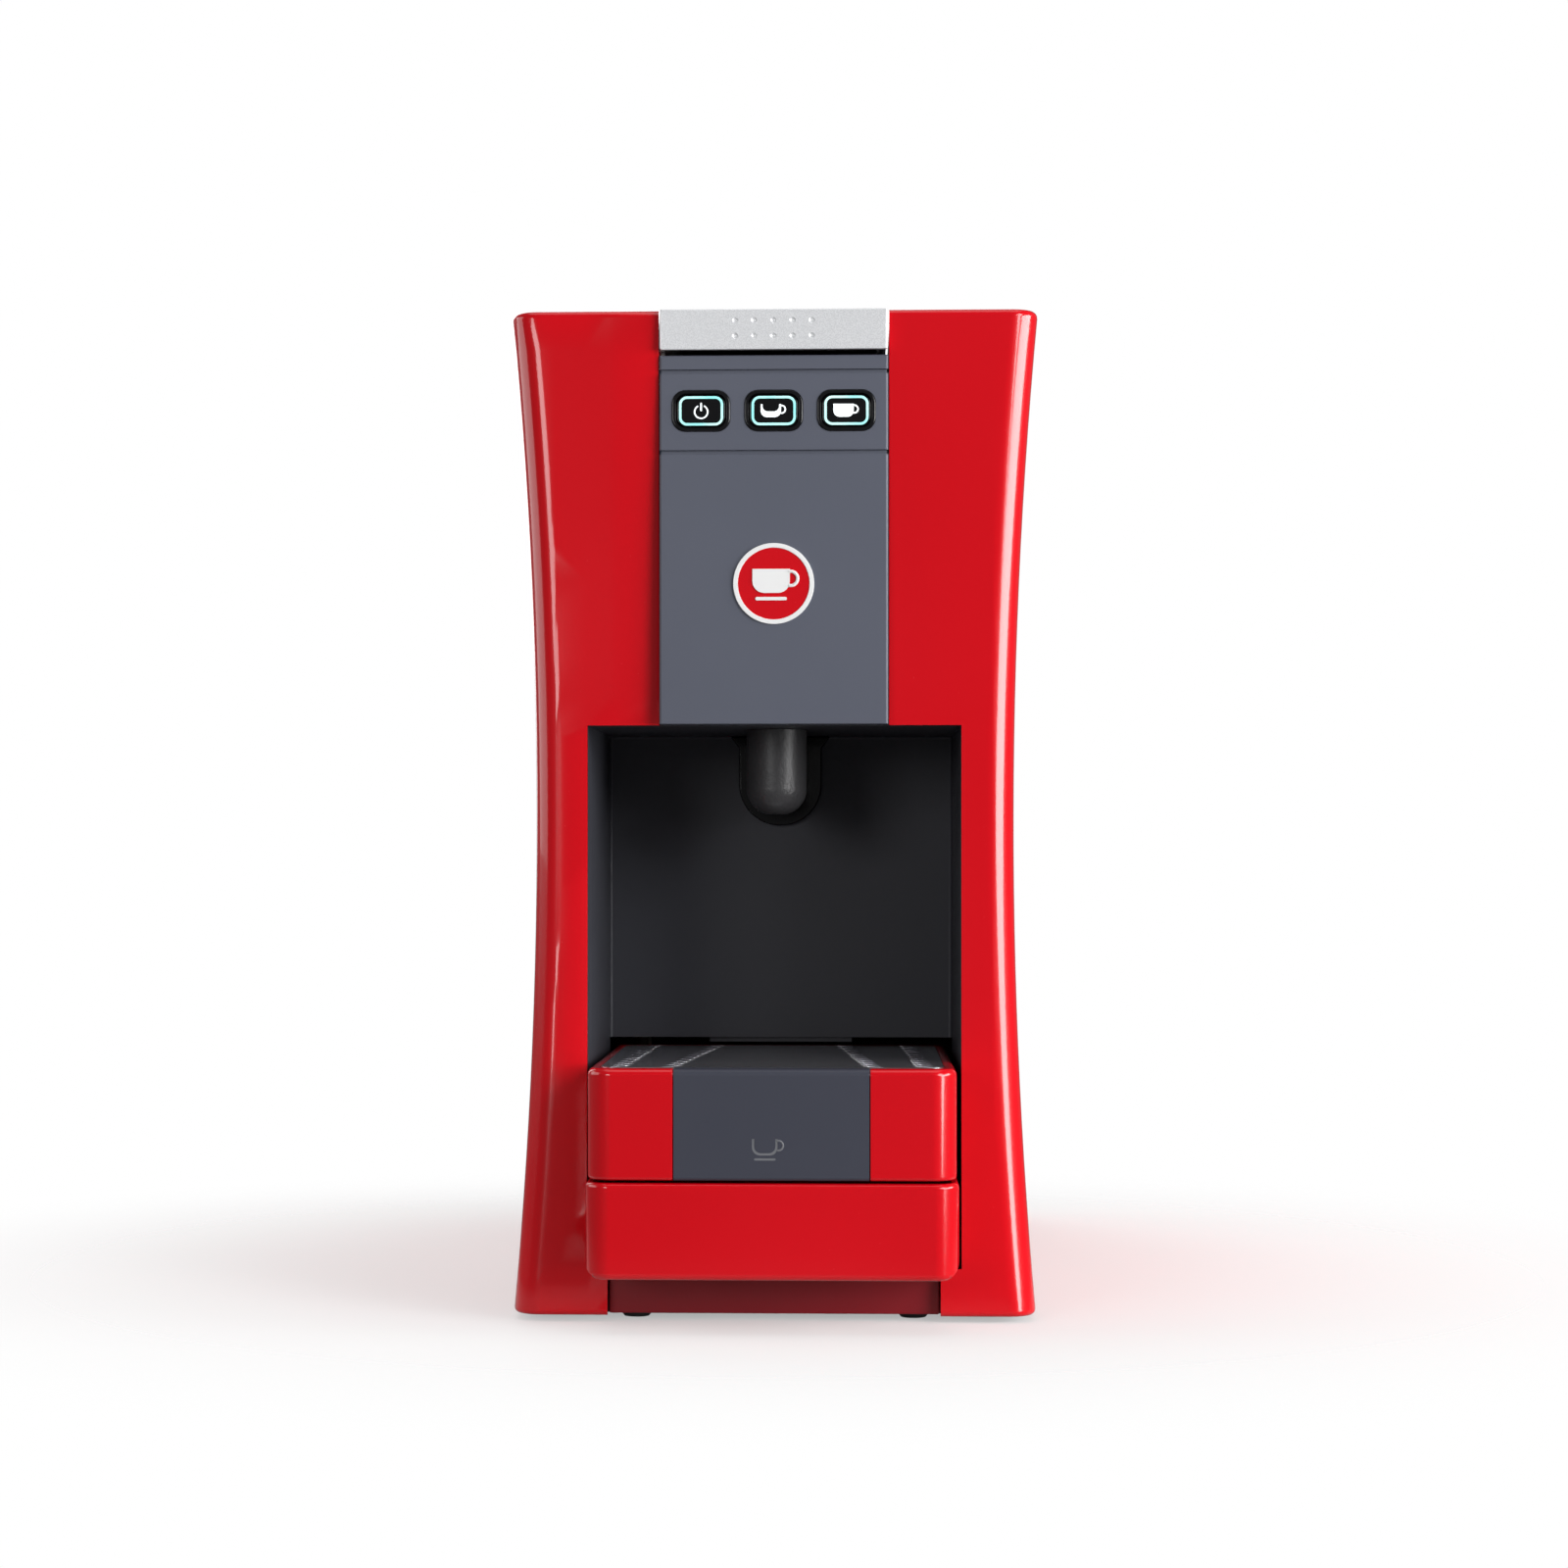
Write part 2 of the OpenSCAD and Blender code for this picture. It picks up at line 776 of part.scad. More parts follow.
module main_board() {
    board = -66;
    color([0.1, 0.35, 0.18]) {
        box([board, 30, 100], [board + 1.6, 108, 190]);
        box([board + 1.6, 40, 150], [board + 18, 62, 178]);
        rod_x(board + 1.6, board + 24, 94, 165, 9);
        rod_x(board + 1.6, board + 20, 90, 130, 7);
        box([board + 1.6, 38, 110], [board + 12, 70, 122]);
        for (z = [106, 176]) box([board, 100, z], [board + 6, bay_y - 4, z + 8]);
    }
}

// Mains inlet in the tank seat's back wall
module power_inlet() {
    mid = [-38, 0, 22.5];
    color(black) translate(mid) difference() {
        union() {
            along_y(tank_back - 26, tank_back - 2) rounded(27, 19, 3);
            along_y(tank_back - 2, tank_back) rounded(31, 23, 3);
        }
        along_y(tank_back - 18, tank_back + 1) rounded(24, 16, 4);
        along_y(tank_back - 18, tank_back - 17) rounded(2, 6, 0.5);
    }
}

// ---- buttons -------------------------------------------------------------------------------

// Lit outline of a button, flush with its cap
module ring_outline() {
    difference() {
        rounded(14.2, 9.4, 2.6);
        rounded(12.2, 7.4, 1.8);
    }
}

module power_sign() {
    difference() {
        circle(2.2);
        circle(1.7);
        translate([-0.8, 0]) square([1.6, 3]);
    }
    translate([-0.25, 0.3]) square([0.5, 2.3]);
}

module button_sign(kind) {
    ring_outline();
    if (kind == 0) power_sign();
    if (kind == 1) cup_outline(0.3);
    if (kind == 2) cup_outline(1);
}

module button_cap(kind) {
    color(black) translate([(kind - 1) * button_pitch, 0, button_z]) {
        difference() {
            along_y(panel_y, shell_y + 8) rounded(15.8, 10.4, 3.2);
            along_y(panel_y - 1, panel_y + 0.6) button_sign(kind);
        }
        rod_y(shell_y + 8, shell_y + 13 - button_travel - 0.2, 0, 0, 1.5);
    }
}

module button_light(kind) {
    color([0.75, 1, 0.97]) translate([(kind - 1) * button_pitch, 0, button_z])
        along_y(panel_y - 0.1, panel_y + 0.6) button_sign(kind);
}

module button_power() button_cap(0);

module button_short() button_cap(1);

module button_long() button_cap(2);

module ring_power() button_light(0);

module ring_short() button_light(1);

module ring_long() button_light(2);

// ---- drawer and cup stand ------------------------------------------------------------------

module drawer() {
    r = 8;
    wall = 2.5;
    rear = niche_y - 2;
    color(red) difference() {
        union() {
            intersection() {
                translate([0, 0, drawer_z]) linear_extrude(stand_z - 0.8 - drawer_z)
                    front_rounded(drawer_half, front_y, rear, r);
                along_y(front_y, rear) translate([0, drawer_z + 25]) rounded(2 * drawer_half, 50, 6);
            }
            wide_box(40, rear - 10, 32, drawer_z, drawer_z + wall);
        }
        translate([0, 0, drawer_z + wall]) linear_extrude(40)
            front_rounded(drawer_half - wall, front_y + wall, rear - wall, r - wall);
    }
}

module capsule_bin() {
    floor_z = drawer_z + 2.5;
    color(black) difference() {
        wide_box(30, niche_y + 5, 28, floor_z, 78);
        wide_box(28, niche_y + 7, 26, floor_z + 2, 80);
    }
}

// Cup stand: a shell with a rim round the drip grid and an opening for the grey insert
module cup_stand() {
    r = 8;
    wall = 3;
    rear = niche_y - 2;
    rim = 3.5;
    plate = 2;
    color(red) difference() {
        translate([0, 0, stand_z]) linear_extrude(stand_top - stand_z)
            front_rounded(stand_half, front_y, rear, r);
        translate([0, 0, stand_z - 1]) linear_extrude(stand_top - stand_z - 3)
            front_rounded(stand_half - wall, front_y + wall, rear - wall, r - wall);
        translate([0, 0, stand_top - plate - 0.2]) linear_extrude(5)
            front_rounded(stand_half - rim, front_y + rim, rear - rim, r - 3);
        wide_box(stand_half - 12, front_y + 12, rear - 12, stand_z, stand_top + 1);
        wide_box(insert_half + 0.2, front_y - 1, front_y + wall + 4, stand_z - 1, stand_top + 1);
    }
}

// Grey insert in the stand's front, with a thin engraved cup
module cup_stand_panel() {
    icon = 2.4;
    color(slate) difference() {
        wide_box(insert_half, front_y, front_y + 3.4, stand_z + 0.2, stand_top);
        translate([0, 0, 58]) along_y(front_y - 1, front_y + 0.3) difference() {
            scale(icon) cup_outline(1);
            scale(icon * 0.92) cup_outline(1);
        }
    }
}

// Pierced metal plate: two rows of short leaning slots on each side of a plain middle
module drip_grid() {
    r = 5;
    gap = 3.8;
    front = front_y + 7.2;
    rear = niche_y - 2 - gap;
    slot = [2.2, 9];
    count = 12;
    color(steel) difference() {
        translate([0, 0, stand_top - 2]) linear_extrude(2)
            front_rounded(stand_half - gap, front, rear, r);
        for (s = [-1, 1], ends = [[32, 22], [48, 44]], i = [0.5 : count - 0.5]) {
            share = i / count;
            translate([s * (ends[0] + share * (ends[1] - ends[0])), front + share * (rear - front), stand_top - 5])
                rotate([0, 0, s * 38]) linear_extrude(10) rounded(slot.x, slot.y, slot.x / 2 - 0.01);
        }
    }
}

// ---- water tank ----------------------------------------------------------------------------

// Rounded plan of the tank, drawn in by a wall
module tank_plan(wall) {
    translate([0, (tank_y + tank_back) / 2])
        rounded(2 * (tank_half - wall), tank_back - tank_y - 2 * wall, 7 - wall);
}

module water_tank() {
    top = 316;
    color(smoke) difference() {
        union() {
            difference() {
                translate([0, 0, tank_z]) linear_extrude(top - tank_z) tank_plan(0);
                translate([0, 0, tank_z + 3]) linear_extrude(big) tank_plan(tank_wall);
            }
            both_sides() {
                box([lug_x, lid_pin_y - 3, top - 0.4], [lug_x + 6, lid_pin_y + 4, lid_pin_z]);
                rod_x(lug_x, lug_x + 6, lid_pin_y, lid_pin_z, 3.5);
            }
        }
        rod_z(tank_z - 1, tank_z + 4, 0, valve_y, 7);
        rod_x(-tank_half, tank_half, lid_pin_y, lid_pin_z, lid_pin_r);
    }
}

// Lid on a pin at the back
module tank_lid() {
    color(smoke) difference() {
        union() {
            intersection() {
                translate([0, 0, lid_z]) linear_extrude(body_h - lid_z) tank_plan(0);
                box([-big, 0, 0], [big, lid_pin_y, big]);
            }
            rod_x(-lug_x + 1, lug_x - 1, lid_pin_y, lid_pin_z, 4);
            difference() {
                wide_box(tank_half - 4, tank_y + 4, lid_pin_y - 8, lid_z - 3, lid_z);
                wide_box(tank_half - 6, tank_y + 6, lid_pin_y - 10, lid_z - 4, lid_z);
            }
        }
        both_sides() box([lug_x - 0.8, lid_pin_y - 6, 0], [lug_x + big, big, big]);
        rod_x(-tank_half, tank_half, lid_pin_y, lid_pin_z, lid_pin_r + run_fit);
    }
}

module tank_lid_pin() color(steel) rod_x(-lug_x - 6, lug_x + 6, lid_pin_y, lid_pin_z, lid_pin_r);

module tank_valve() {
    color(white) {
        rod_z(tank_z - 8, tank_z + 3, 0, valve_y, 7);
        rod_z(tank_z + 3, tank_z + 5, 0, valve_y, 10);
    }
}

module tank_filter() {
    color(steel) difference() {
        rod_z(tank_z + 5, tank_z + 17, 0, valve_y, 9);
        rod_z(tank_z + 6, tank_z + 16, 0, valve_y, 8);
        for (z = [tank_z + 8, tank_z + 12]) {
            wide_box(20, valve_y - 3, valve_y + 3, z, z + 2);
            wide_box(3, valve_y - 20, valve_y + 20, z, z + 2);
        }
    }
}

// Plinth under the tank, with the valve's socket and the mains inlet's opening
module tank_seat() {
    wall = 2.5;
    color(black) difference() {
        wide_box(tank_half, bay_y, tank_back - 2, base_top, tank_z - 0.5);
        wide_box(tank_half - wall, bay_y + wall, tank_back - 2 - wall, base_top - 1, tank_z - 3);
        rod_z(0, tank_z + 1, 0, valve_y, 8);
        translate([-38, 0, 22.5]) along_y(tank_back - 10, tank_back) rounded(27, 19, 3);
        rod_y(bay_y - 1, bay_y + 4, hose_x, hose_z, hose_r);
    }
}

left_shell();
right_shell();
front_panel();
front_plinth();
base_plate();
feet();
rear_panel();
top_cover();
niche_liner();
spout_nose();
spout_collar();
coffee_duct();
button_bezels();
shell_screws();
emblem();
power_inlet();
tank_seat();
lever_cover();
lever_arms();
lever_shaft();
lever_gears();
lever_bushes();
brew_frame();
guide_rods();
capsule_carriage();
rack_bars();
brew_head();
brew_seal();
capsule_chute();
top_deck();
thermoblock();
thermostats();
pump();
pump_mounts();
pump_bracket();
flow_meter();
suction_hose();
pressure_hose();
brew_hose();
control_board();
main_board();
button_power();
button_short();
button_long();
ring_power();
ring_short();
ring_long();
drawer();
capsule_bin();
cup_stand();
cup_stand_panel();
drip_grid();
water_tank();
tank_lid();
tank_lid_pin();
tank_valve();
tank_filter();
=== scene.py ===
import json
import math

import bmesh
import bpy
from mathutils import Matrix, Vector


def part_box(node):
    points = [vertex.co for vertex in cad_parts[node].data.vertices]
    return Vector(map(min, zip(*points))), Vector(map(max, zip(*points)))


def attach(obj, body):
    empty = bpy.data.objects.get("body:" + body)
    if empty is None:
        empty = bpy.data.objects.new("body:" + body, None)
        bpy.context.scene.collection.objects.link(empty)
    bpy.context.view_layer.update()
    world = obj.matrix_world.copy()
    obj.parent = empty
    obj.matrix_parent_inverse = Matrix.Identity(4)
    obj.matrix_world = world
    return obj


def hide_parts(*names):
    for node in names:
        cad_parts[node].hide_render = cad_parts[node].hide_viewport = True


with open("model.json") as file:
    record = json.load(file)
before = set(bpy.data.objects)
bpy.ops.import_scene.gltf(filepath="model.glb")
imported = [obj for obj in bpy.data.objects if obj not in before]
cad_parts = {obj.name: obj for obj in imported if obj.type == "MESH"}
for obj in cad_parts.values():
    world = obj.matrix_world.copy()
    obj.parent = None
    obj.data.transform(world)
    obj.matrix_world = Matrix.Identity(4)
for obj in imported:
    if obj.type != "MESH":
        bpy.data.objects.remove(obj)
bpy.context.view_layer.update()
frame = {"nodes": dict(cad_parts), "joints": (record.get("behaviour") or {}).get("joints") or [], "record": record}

# Sizes in metres. Places come from the frame's own nodes; these are the few that no box gives.
MM = 0.001
WAIST_HALF = 77.4 * MM
WAIST_Z = 160 * MM
FRONT_SAG = 4.5 * MM
EDGE_R = 9 * MM
NICHE_HALF = 60.25 * MM
NICHE_TOP = 191.8 * MM
PLINTH_HALF = 53.5 * MM
BAY_HALF = 70.5 * MM
GROOVES = (279.2 * MM, 305.1 * MM)

# Rounded outlines of the button parts: width, height, corner.
PANEL_HOLE = (18.9 * MM, 13.5 * MM, 4.5 * MM)
BEZEL = (18.8 * MM, 13.4 * MM, 4.5 * MM)
BEZEL_HOLE = (16.3 * MM, 10.9 * MM, 3.4 * MM)
CAP = (15.8 * MM, 10.4 * MM, 3.2 * MM)
GLOW = (14.2 * MM, 9.4 * MM, 2.6 * MM)
GLOW_HOLE = (12.6 * MM, 7.8 * MM, 1.8 * MM)

# Slack for finding places, and how far a unit direction has to lie along an axis or across it.
SLIVER = 0.05 * MM
FLAT = 0.99
ALONG = 0.9
ACROSS = 0.1
RIGHT = (1, 0, 0)
BACK = (0, 1, 0)
UP = (0, 0, 1)

shell_lo, shell_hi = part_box("right_shell")
panel_lo, panel_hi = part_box("front_panel")
lever_lo, lever_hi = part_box("lever_cover")
stand_lo, stand_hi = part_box("cup_stand")
insert_lo, insert_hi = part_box("cup_stand_panel")
drawer_lo, drawer_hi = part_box("drawer")
grid_lo, grid_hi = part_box("drip_grid")
nose_lo, nose_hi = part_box("spout_nose")
collar_lo, collar_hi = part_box("spout_collar")
liner_lo, liner_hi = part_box("niche_liner")
cover_lo, cover_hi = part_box("top_cover")
tank_lo, tank_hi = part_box("water_tank")
lid_lo, lid_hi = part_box("tank_lid")
plinth_lo, plinth_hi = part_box("front_plinth")
pin_lo, pin_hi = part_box("tank_lid_pin")
PIVOT = Vector(next(j for j in frame["joints"] if j["name"] == "lever_hinge")["pos_m"])
BAY_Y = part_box("tank_seat")[0].y


# ---- modelling by hand ------------------------------------------------------------------------

def leave():
    """Back to object mode."""
    if bpy.context.mode != "OBJECT":
        bpy.ops.object.mode_set(mode="OBJECT")


def hold(*pieces):
    """Object mode with just these pieces selected, and the first of them active."""
    leave()
    bpy.ops.object.select_all(action="DESELECT")
    for piece in pieces:
        piece.select_set(True)
    if pieces:
        bpy.context.view_layer.objects.active = pieces[0]


def take_place(piece, name):
    """Names the selected piece and puts its place, turn and size into its mesh."""
    piece.name = piece.data.name = name
    bpy.ops.object.transform_apply(location=True, rotation=True, scale=True)
    return piece


def open_up(name):
    """Names the new primitive and leaves it in edit mode."""
    piece = take_place(bpy.context.object, name)
    bpy.ops.object.mode_set(mode="EDIT")
    return piece


def start_box(name, lo, hi):
    """A box between two corners, left in edit mode."""
    lo, hi = Vector(lo), Vector(hi)
    hold()
    bpy.ops.mesh.primitive_cube_add(size=1, location=(lo + hi) / 2, scale=hi - lo)
    return open_up(name)


def start_rod(name, a, b, radius, sides=64):
    """A cylinder from a to b, left in edit mode."""
    a, b = Vector(a), Vector(b)
    turn = (b - a).to_track_quat("Z", "Y").to_euler()
    hold()
    bpy.ops.mesh.primitive_cylinder_add(vertices=sides, radius=radius, depth=(b - a).length,
                                        location=(a + b) / 2, rotation=turn)
    return open_up(name)


def start_ring(name, centre, major, minor, sides):
    """A ring that lies in the front's plane, left in edit mode."""
    hold()
    bpy.ops.mesh.primitive_torus_add(location=centre, rotation=(math.pi / 2, 0, 0),
                                     major_radius=major, minor_radius=minor,
                                     major_segments=sides, minor_segments=8)
    return open_up(name)


def choose(kind, test):
    """Selects the edit mesh's faces, edges or verts that pass the test, and nothing else."""
    bpy.ops.mesh.select_mode(type=kind)
    bpy.ops.mesh.select_all(action="DESELECT")
    mesh = bmesh.from_edit_mesh(bpy.context.edit_object.data)
    for part in {"FACE": mesh.faces, "EDGE": mesh.edges, "VERT": mesh.verts}[kind]:
        if test(part):
            part.select_set(True)
    mesh.select_flush_mode()
    bmesh.update_edit_mesh(bpy.context.edit_object.data)


def choose_edges(test):
    """Selects the edges whose two ends both pass the test on (place of the end, direction)."""
    def both(edge):
        way = (edge.verts[1].co - edge.verts[0].co).normalized()
        return all(test(v.co, way) for v in edge.verts)
    choose("EDGE", both)


def drop(kind, test):
    """Deletes the faces or verts that pass the test."""
    choose(kind, test)
    bpy.ops.mesh.delete(type=kind)


def cap_ends():
    """Closes every hole of the edit mesh."""
    bpy.ops.mesh.select_all(action="SELECT")
    bpy.ops.mesh.fill_holes(sides=0)


def cut(point, normal, keep_inner=False):
    """Bisects the whole edit mesh, and may keep only the closed part behind the plane."""
    bpy.ops.mesh.select_all(action="SELECT")
    bpy.ops.mesh.bisect(plane_co=point, plane_no=normal, clear_outer=keep_inner,
                        use_fill=keep_inner)


def move(x=0, y=0):
    bpy.ops.transform.translate(value=(x, y, 0))


def extrude(y=0, z=0):
    bpy.ops.mesh.extrude_region_move(TRANSFORM_OT_translate={"value": (0, y, z)})


def round_edges(width, segments):
    bpy.ops.mesh.bevel(offset=width, segments=segments, affect="EDGES", clamp_overlap=True)


def near(a, b):
    return abs(a - b) < SLIVER


def along(part):
    return abs(part) > ALONG


def across(part):
    return abs(part) < ACROSS


def apply_modifier(piece, kind, **settings):
    """Adds a modifier to the piece and applies it."""
    hold(piece)
    modifier = piece.modifiers.new(kind.title(), kind)
    for key, value in settings.items():
        setattr(modifier, key, value)
    bpy.ops.object.modifier_apply(modifier=modifier.name)


def carve(piece, cutter, how="DIFFERENCE"):
    """Takes the cutter out of the piece, and the cutter away."""
    apply_modifier(piece, "BOOLEAN", object=cutter, operation=how, solver="MANIFOLD")
    bpy.data.objects.remove(cutter)


def smooth(piece):
    """Smooth shading that keeps flat faces flat."""
    hold(piece)
    bpy.ops.object.shade_smooth_by_angle(angle=math.radians(35))
    apply_modifier(piece, "WEIGHTED_NORMAL", keep_sharp=True)


def soften(piece, width, segments=2, angle=50):
    """Small rounds on the edges sharper than the angle, then smooth shading."""
    apply_modifier(piece, "BEVEL", width=width, segments=segments, limit_method="ANGLE",
                   angle_limit=math.radians(angle))
    smooth(piece)


def join(name, *pieces):
    """Makes one piece of several."""
    hold(*pieces)
    bpy.ops.object.join()
    pieces[0].name = pieces[0].data.name = name
    return pieces[0]


def copy_of(piece, name):
    """A copy with its own mesh."""
    hold(piece)
    bpy.ops.object.duplicate(linked=False)
    return take_place(bpy.context.object, name)


def mirrored(piece, name):
    """The piece's mirror image about the middle plane, its faces turned the right way again."""
    twin = copy_of(piece, name)
    twin.scale = (-1, 1, 1)
    take_place(twin, name)
    bpy.ops.object.mode_set(mode="EDIT")
    bpy.ops.mesh.select_all(action="SELECT")
    bpy.ops.mesh.normals_make_consistent(inside=False)
    leave()
    return twin


def rounded_slab(name, lo, hi, corner, axis="Y", segments=8):
    """A box whose edges along one axis are rounded, left in edit mode."""
    part = "XYZ".index(axis)
    slab = start_box(name, lo, hi)
    choose_edges(lambda p, d: along(d[part]))
    round_edges(corner, segments)
    return slab


def hollow_out(piece, lo, hi, corner):
    """Takes a box with rounded upright edges out of the piece."""
    carve(piece, rounded_slab("room", lo, hi, corner, "Z", segments=6))


# ---- shader maths -----------------------------------------------------------------------------

class Wire:
    """A shader socket that can stand in sums."""

    def __init__(self, tree, socket):
        self.tree = tree
        self.socket = socket

    def maths(self, kind, a, b):
        return self.tree.node("ShaderNodeMath", {"operation": kind}, {0: a, 1: b})

    def __add__(self, other):
        return self.maths("ADD", self, other)

    def __radd__(self, other):
        return self.maths("ADD", other, self)

    def __sub__(self, other):
        return self.maths("SUBTRACT", self, other)

    def __rsub__(self, other):
        return self.maths("SUBTRACT", other, self)

    def __mul__(self, other):
        return self.maths("MULTIPLY", self, other)

    def __rmul__(self, other):
        return self.maths("MULTIPLY", other, self)


class Tree:
    """A node tree whose nodes all come from one method."""

    def __init__(self, node_tree):
        self.nodes = node_tree.nodes
        self.links = node_tree.links

    def node(self, kind, settings, inputs, output=0):
        """Adds a node: settings first, then the values or links of its sockets."""
        made = self.nodes.new(kind)
        for key, value in settings.items():
            setattr(made, key, value)
        for key, value in inputs.items():
            if isinstance(value, Wire):
                self.links.new(value.socket, made.inputs[key])
            else:
                made.inputs[key].default_value = value
        return Wire(self, made.outputs[output])


class Finish(Tree):
    """A material, its node tree and the patterns that finishes are made of."""

    def __init__(self, name, **constants):
        self.material = bpy.data.materials.new(name)
        self.material.use_nodes = True
        super().__init__(self.material.node_tree)
        self.shader = self.nodes["Principled BSDF"]
        for key, value in constants.items():
            self.shader.inputs[key.replace("_", " ")].default_value = value
        self.place = self.node("ShaderNodeTexCoord", {}, {}, "Object")

    def noise(self, scale, detail=3.0, roughness=0.5, stretch=None):
        """Noise from 0 to 1 over the object's own coordinates, stretched for brushing or flow."""
        place = self.place
        if stretch:
            place = self.node("ShaderNodeMapping", {}, {"Vector": self.place, "Scale": stretch})
        return self.node("ShaderNodeTexNoise", {}, {"Vector": place, "Scale": scale,
                                                   "Detail": detail, "Roughness": roughness})

    def spread(self, value, low, high, low_out=0, high_out=1):
        """Maps a value from one range to another, held at its ends."""
        return self.node("ShaderNodeMapRange", {"interpolation_type": "SMOOTHSTEP"},
                         {"Value": value, "From Min": low, "From Max": high,
                          "To Min": low_out, "To Max": high_out})

    def mix(self, factor, a, b):
        """Mixes two colours."""
        return self.node("ShaderNodeMix", {"data_type": "RGBA"}, {0: factor, 6: a, 7: b}, 2)

    def bump(self, height, strength, distance):
        return self.node("ShaderNodeBump", {}, {"Height": height, "Strength": strength,
                                                "Distance": distance})

    def set(self, **links):
        """Links what changes over the surface to the shader."""
        for key, value in links.items():
            self.links.new(value.socket, self.shader.inputs[key.replace("_", " ")])
        return self.material


def colour(r, g, b):
    return (r, g, b, 1)


def grey(value):
    return colour(value, value, value)


def red_lacquer():
    """Glossy red lacquered plastic: faint cloudiness, fine dust, very soft orange peel."""
    f = Finish("red_lacquer", Coat_Weight=0.5, Coat_Roughness=0.03, Specular_IOR_Level=0.3)
    cloud = f.noise(scale=9, detail=4)
    dust = f.spread(f.noise(scale=900, detail=2), low=0.70, high=0.80)
    peel = f.noise(scale=260, detail=2)
    gloss = f.spread(cloud, low=0.3, high=0.7, low_out=0.16, high_out=0.22)
    return f.set(Base_Color=f.mix(cloud, colour(0.56, 0.0004, 0.005), colour(0.64, 0.0010, 0.008)),
                 Roughness=gloss + 0.1 * dust,
                 Normal=f.bump(peel, strength=0.035, distance=0.0004))


def moulded(name, low, high, rough, grain=1400, depth=0.10):
    """Moulded plastic with a fine spark-eroded grain and a little handling wear."""
    f = Finish(name, Specular_IOR_Level=0.4)
    cloud = f.noise(scale=14, detail=4)
    skin = f.noise(scale=grain, detail=3, roughness=0.6)
    worn = f.spread(f.noise(scale=55, detail=5, roughness=0.65), low=0.55, high=0.75)
    return f.set(Base_Color=f.mix(cloud, low, high),
                 Roughness=rough + 0.07 * skin - 0.05 * worn,
                 Normal=f.bump(skin, strength=depth, distance=0.0002))


def silver_paint():
    """Satin silver paint: fine flake, faint brushing along the lever's width."""
    f = Finish("silver_paint", Metallic=0.35, Coat_Weight=0.2, Coat_Roughness=0.2)
    flake = f.noise(scale=2600, detail=2)
    cloud = f.noise(scale=12, detail=3)
    brushed = f.noise(scale=60, detail=3, stretch=(1, 22, 22))
    sparkle = f.spread(flake, low=0.35, high=0.65)
    return f.set(Base_Color=f.mix(sparkle, colour(0.70, 0.71, 0.73), colour(0.84, 0.85, 0.87)),
                 Roughness=0.30 + 0.08 * brushed + 0.04 * cloud,
                 Normal=f.bump(flake, strength=0.05, distance=0.0001))


def brushed_metal(name, low, high, rough, stretch):
    """Metal with brushing lines along one direction."""
    f = Finish(name, Metallic=1.0)
    lines = f.noise(scale=90, detail=4, roughness=0.6, stretch=stretch)
    smudge = f.noise(scale=30, detail=4)
    return f.set(Base_Color=f.mix(lines, low, high),
                 Roughness=rough + 0.12 * lines + 0.06 * smudge,
                 Normal=f.bump(lines, strength=0.08, distance=0.0002))


def lit_plastic(name, low, high, strength):
    """A diffuser lit from behind, a little uneven along its length."""
    f = Finish(name, Roughness=0.4, Emission_Strength=strength)
    glow = f.mix(f.spread(f.noise(scale=70, detail=2), low=0.3, high=0.7), low, high)
    return f.set(Emission_Color=glow, Base_Color=glow)


def smoked_plastic():
    """See-through smoked plastic with faint flow lines."""
    f = Finish("smoked_plastic", Specular_IOR_Level=0.5)
    flow = f.noise(scale=7, detail=4, roughness=0.5, stretch=(1, 1, 0.25))
    return f.set(Base_Color=f.mix(flow, colour(0.05, 0.055, 0.065), colour(0.09, 0.095, 0.11)),
                 Alpha=f.spread(flow, low=0.3, high=0.7, low_out=0.62, high_out=0.70),
                 Roughness=0.06 + 0.05 * flow)


def circuit_board():
    """Green solder mask with copper runs just showing."""
    f = Finish("solder_mask", Specular_IOR_Level=0.5)
    runs = f.spread(f.noise(scale=320, detail=1, roughness=0.2, stretch=(1, 1, 0.2)),
                    low=0.52, high=0.56)
    return f.set(Base_Color=f.mix(runs, colour(0.01, 0.09, 0.035), colour(0.02, 0.16, 0.06)),
                 Roughness=0.35 + 0.1 * runs,
                 Normal=f.bump(runs, strength=0.2, distance=0.0001))


RED = red_lacquer()
# The plinth's red at about a third of the lacquer's brightness: the satin finish is its own, the darkness is
# painted shade under the drawer.
RED_SATIN_PAINTED_SHADE = moulded("red_satin_painted_shade", colour(0.17, 0.0004, 0.005), colour(0.21, 0.0008, 0.007),
                    rough=0.38, grain=1200, depth=0.06)
SLATE = moulded("slate_satin", colour(0.082, 0.090, 0.120), colour(0.100, 0.108, 0.142), rough=0.42)
SLATE_LOW = moulded("slate_insert", colour(0.036, 0.039, 0.056), colour(0.045, 0.048, 0.068),
                    rough=0.40)
SLATE_PALE = moulded("slate_pale", colour(0.13, 0.135, 0.15), colour(0.17, 0.175, 0.19), rough=0.5)
# The slate darkened for the niche's liner and chute: painted shade inside the niche.
SLATE_NICHE_SHADE = moulded("slate_painted_niche_shade", colour(0.038, 0.039, 0.049), colour(0.052, 0.053, 0.065),
                     rough=0.40)
BLACK = moulded("black_grain", colour(0.010, 0.010, 0.011), colour(0.016, 0.016, 0.018),
                rough=0.38, grain=1100, depth=0.25)
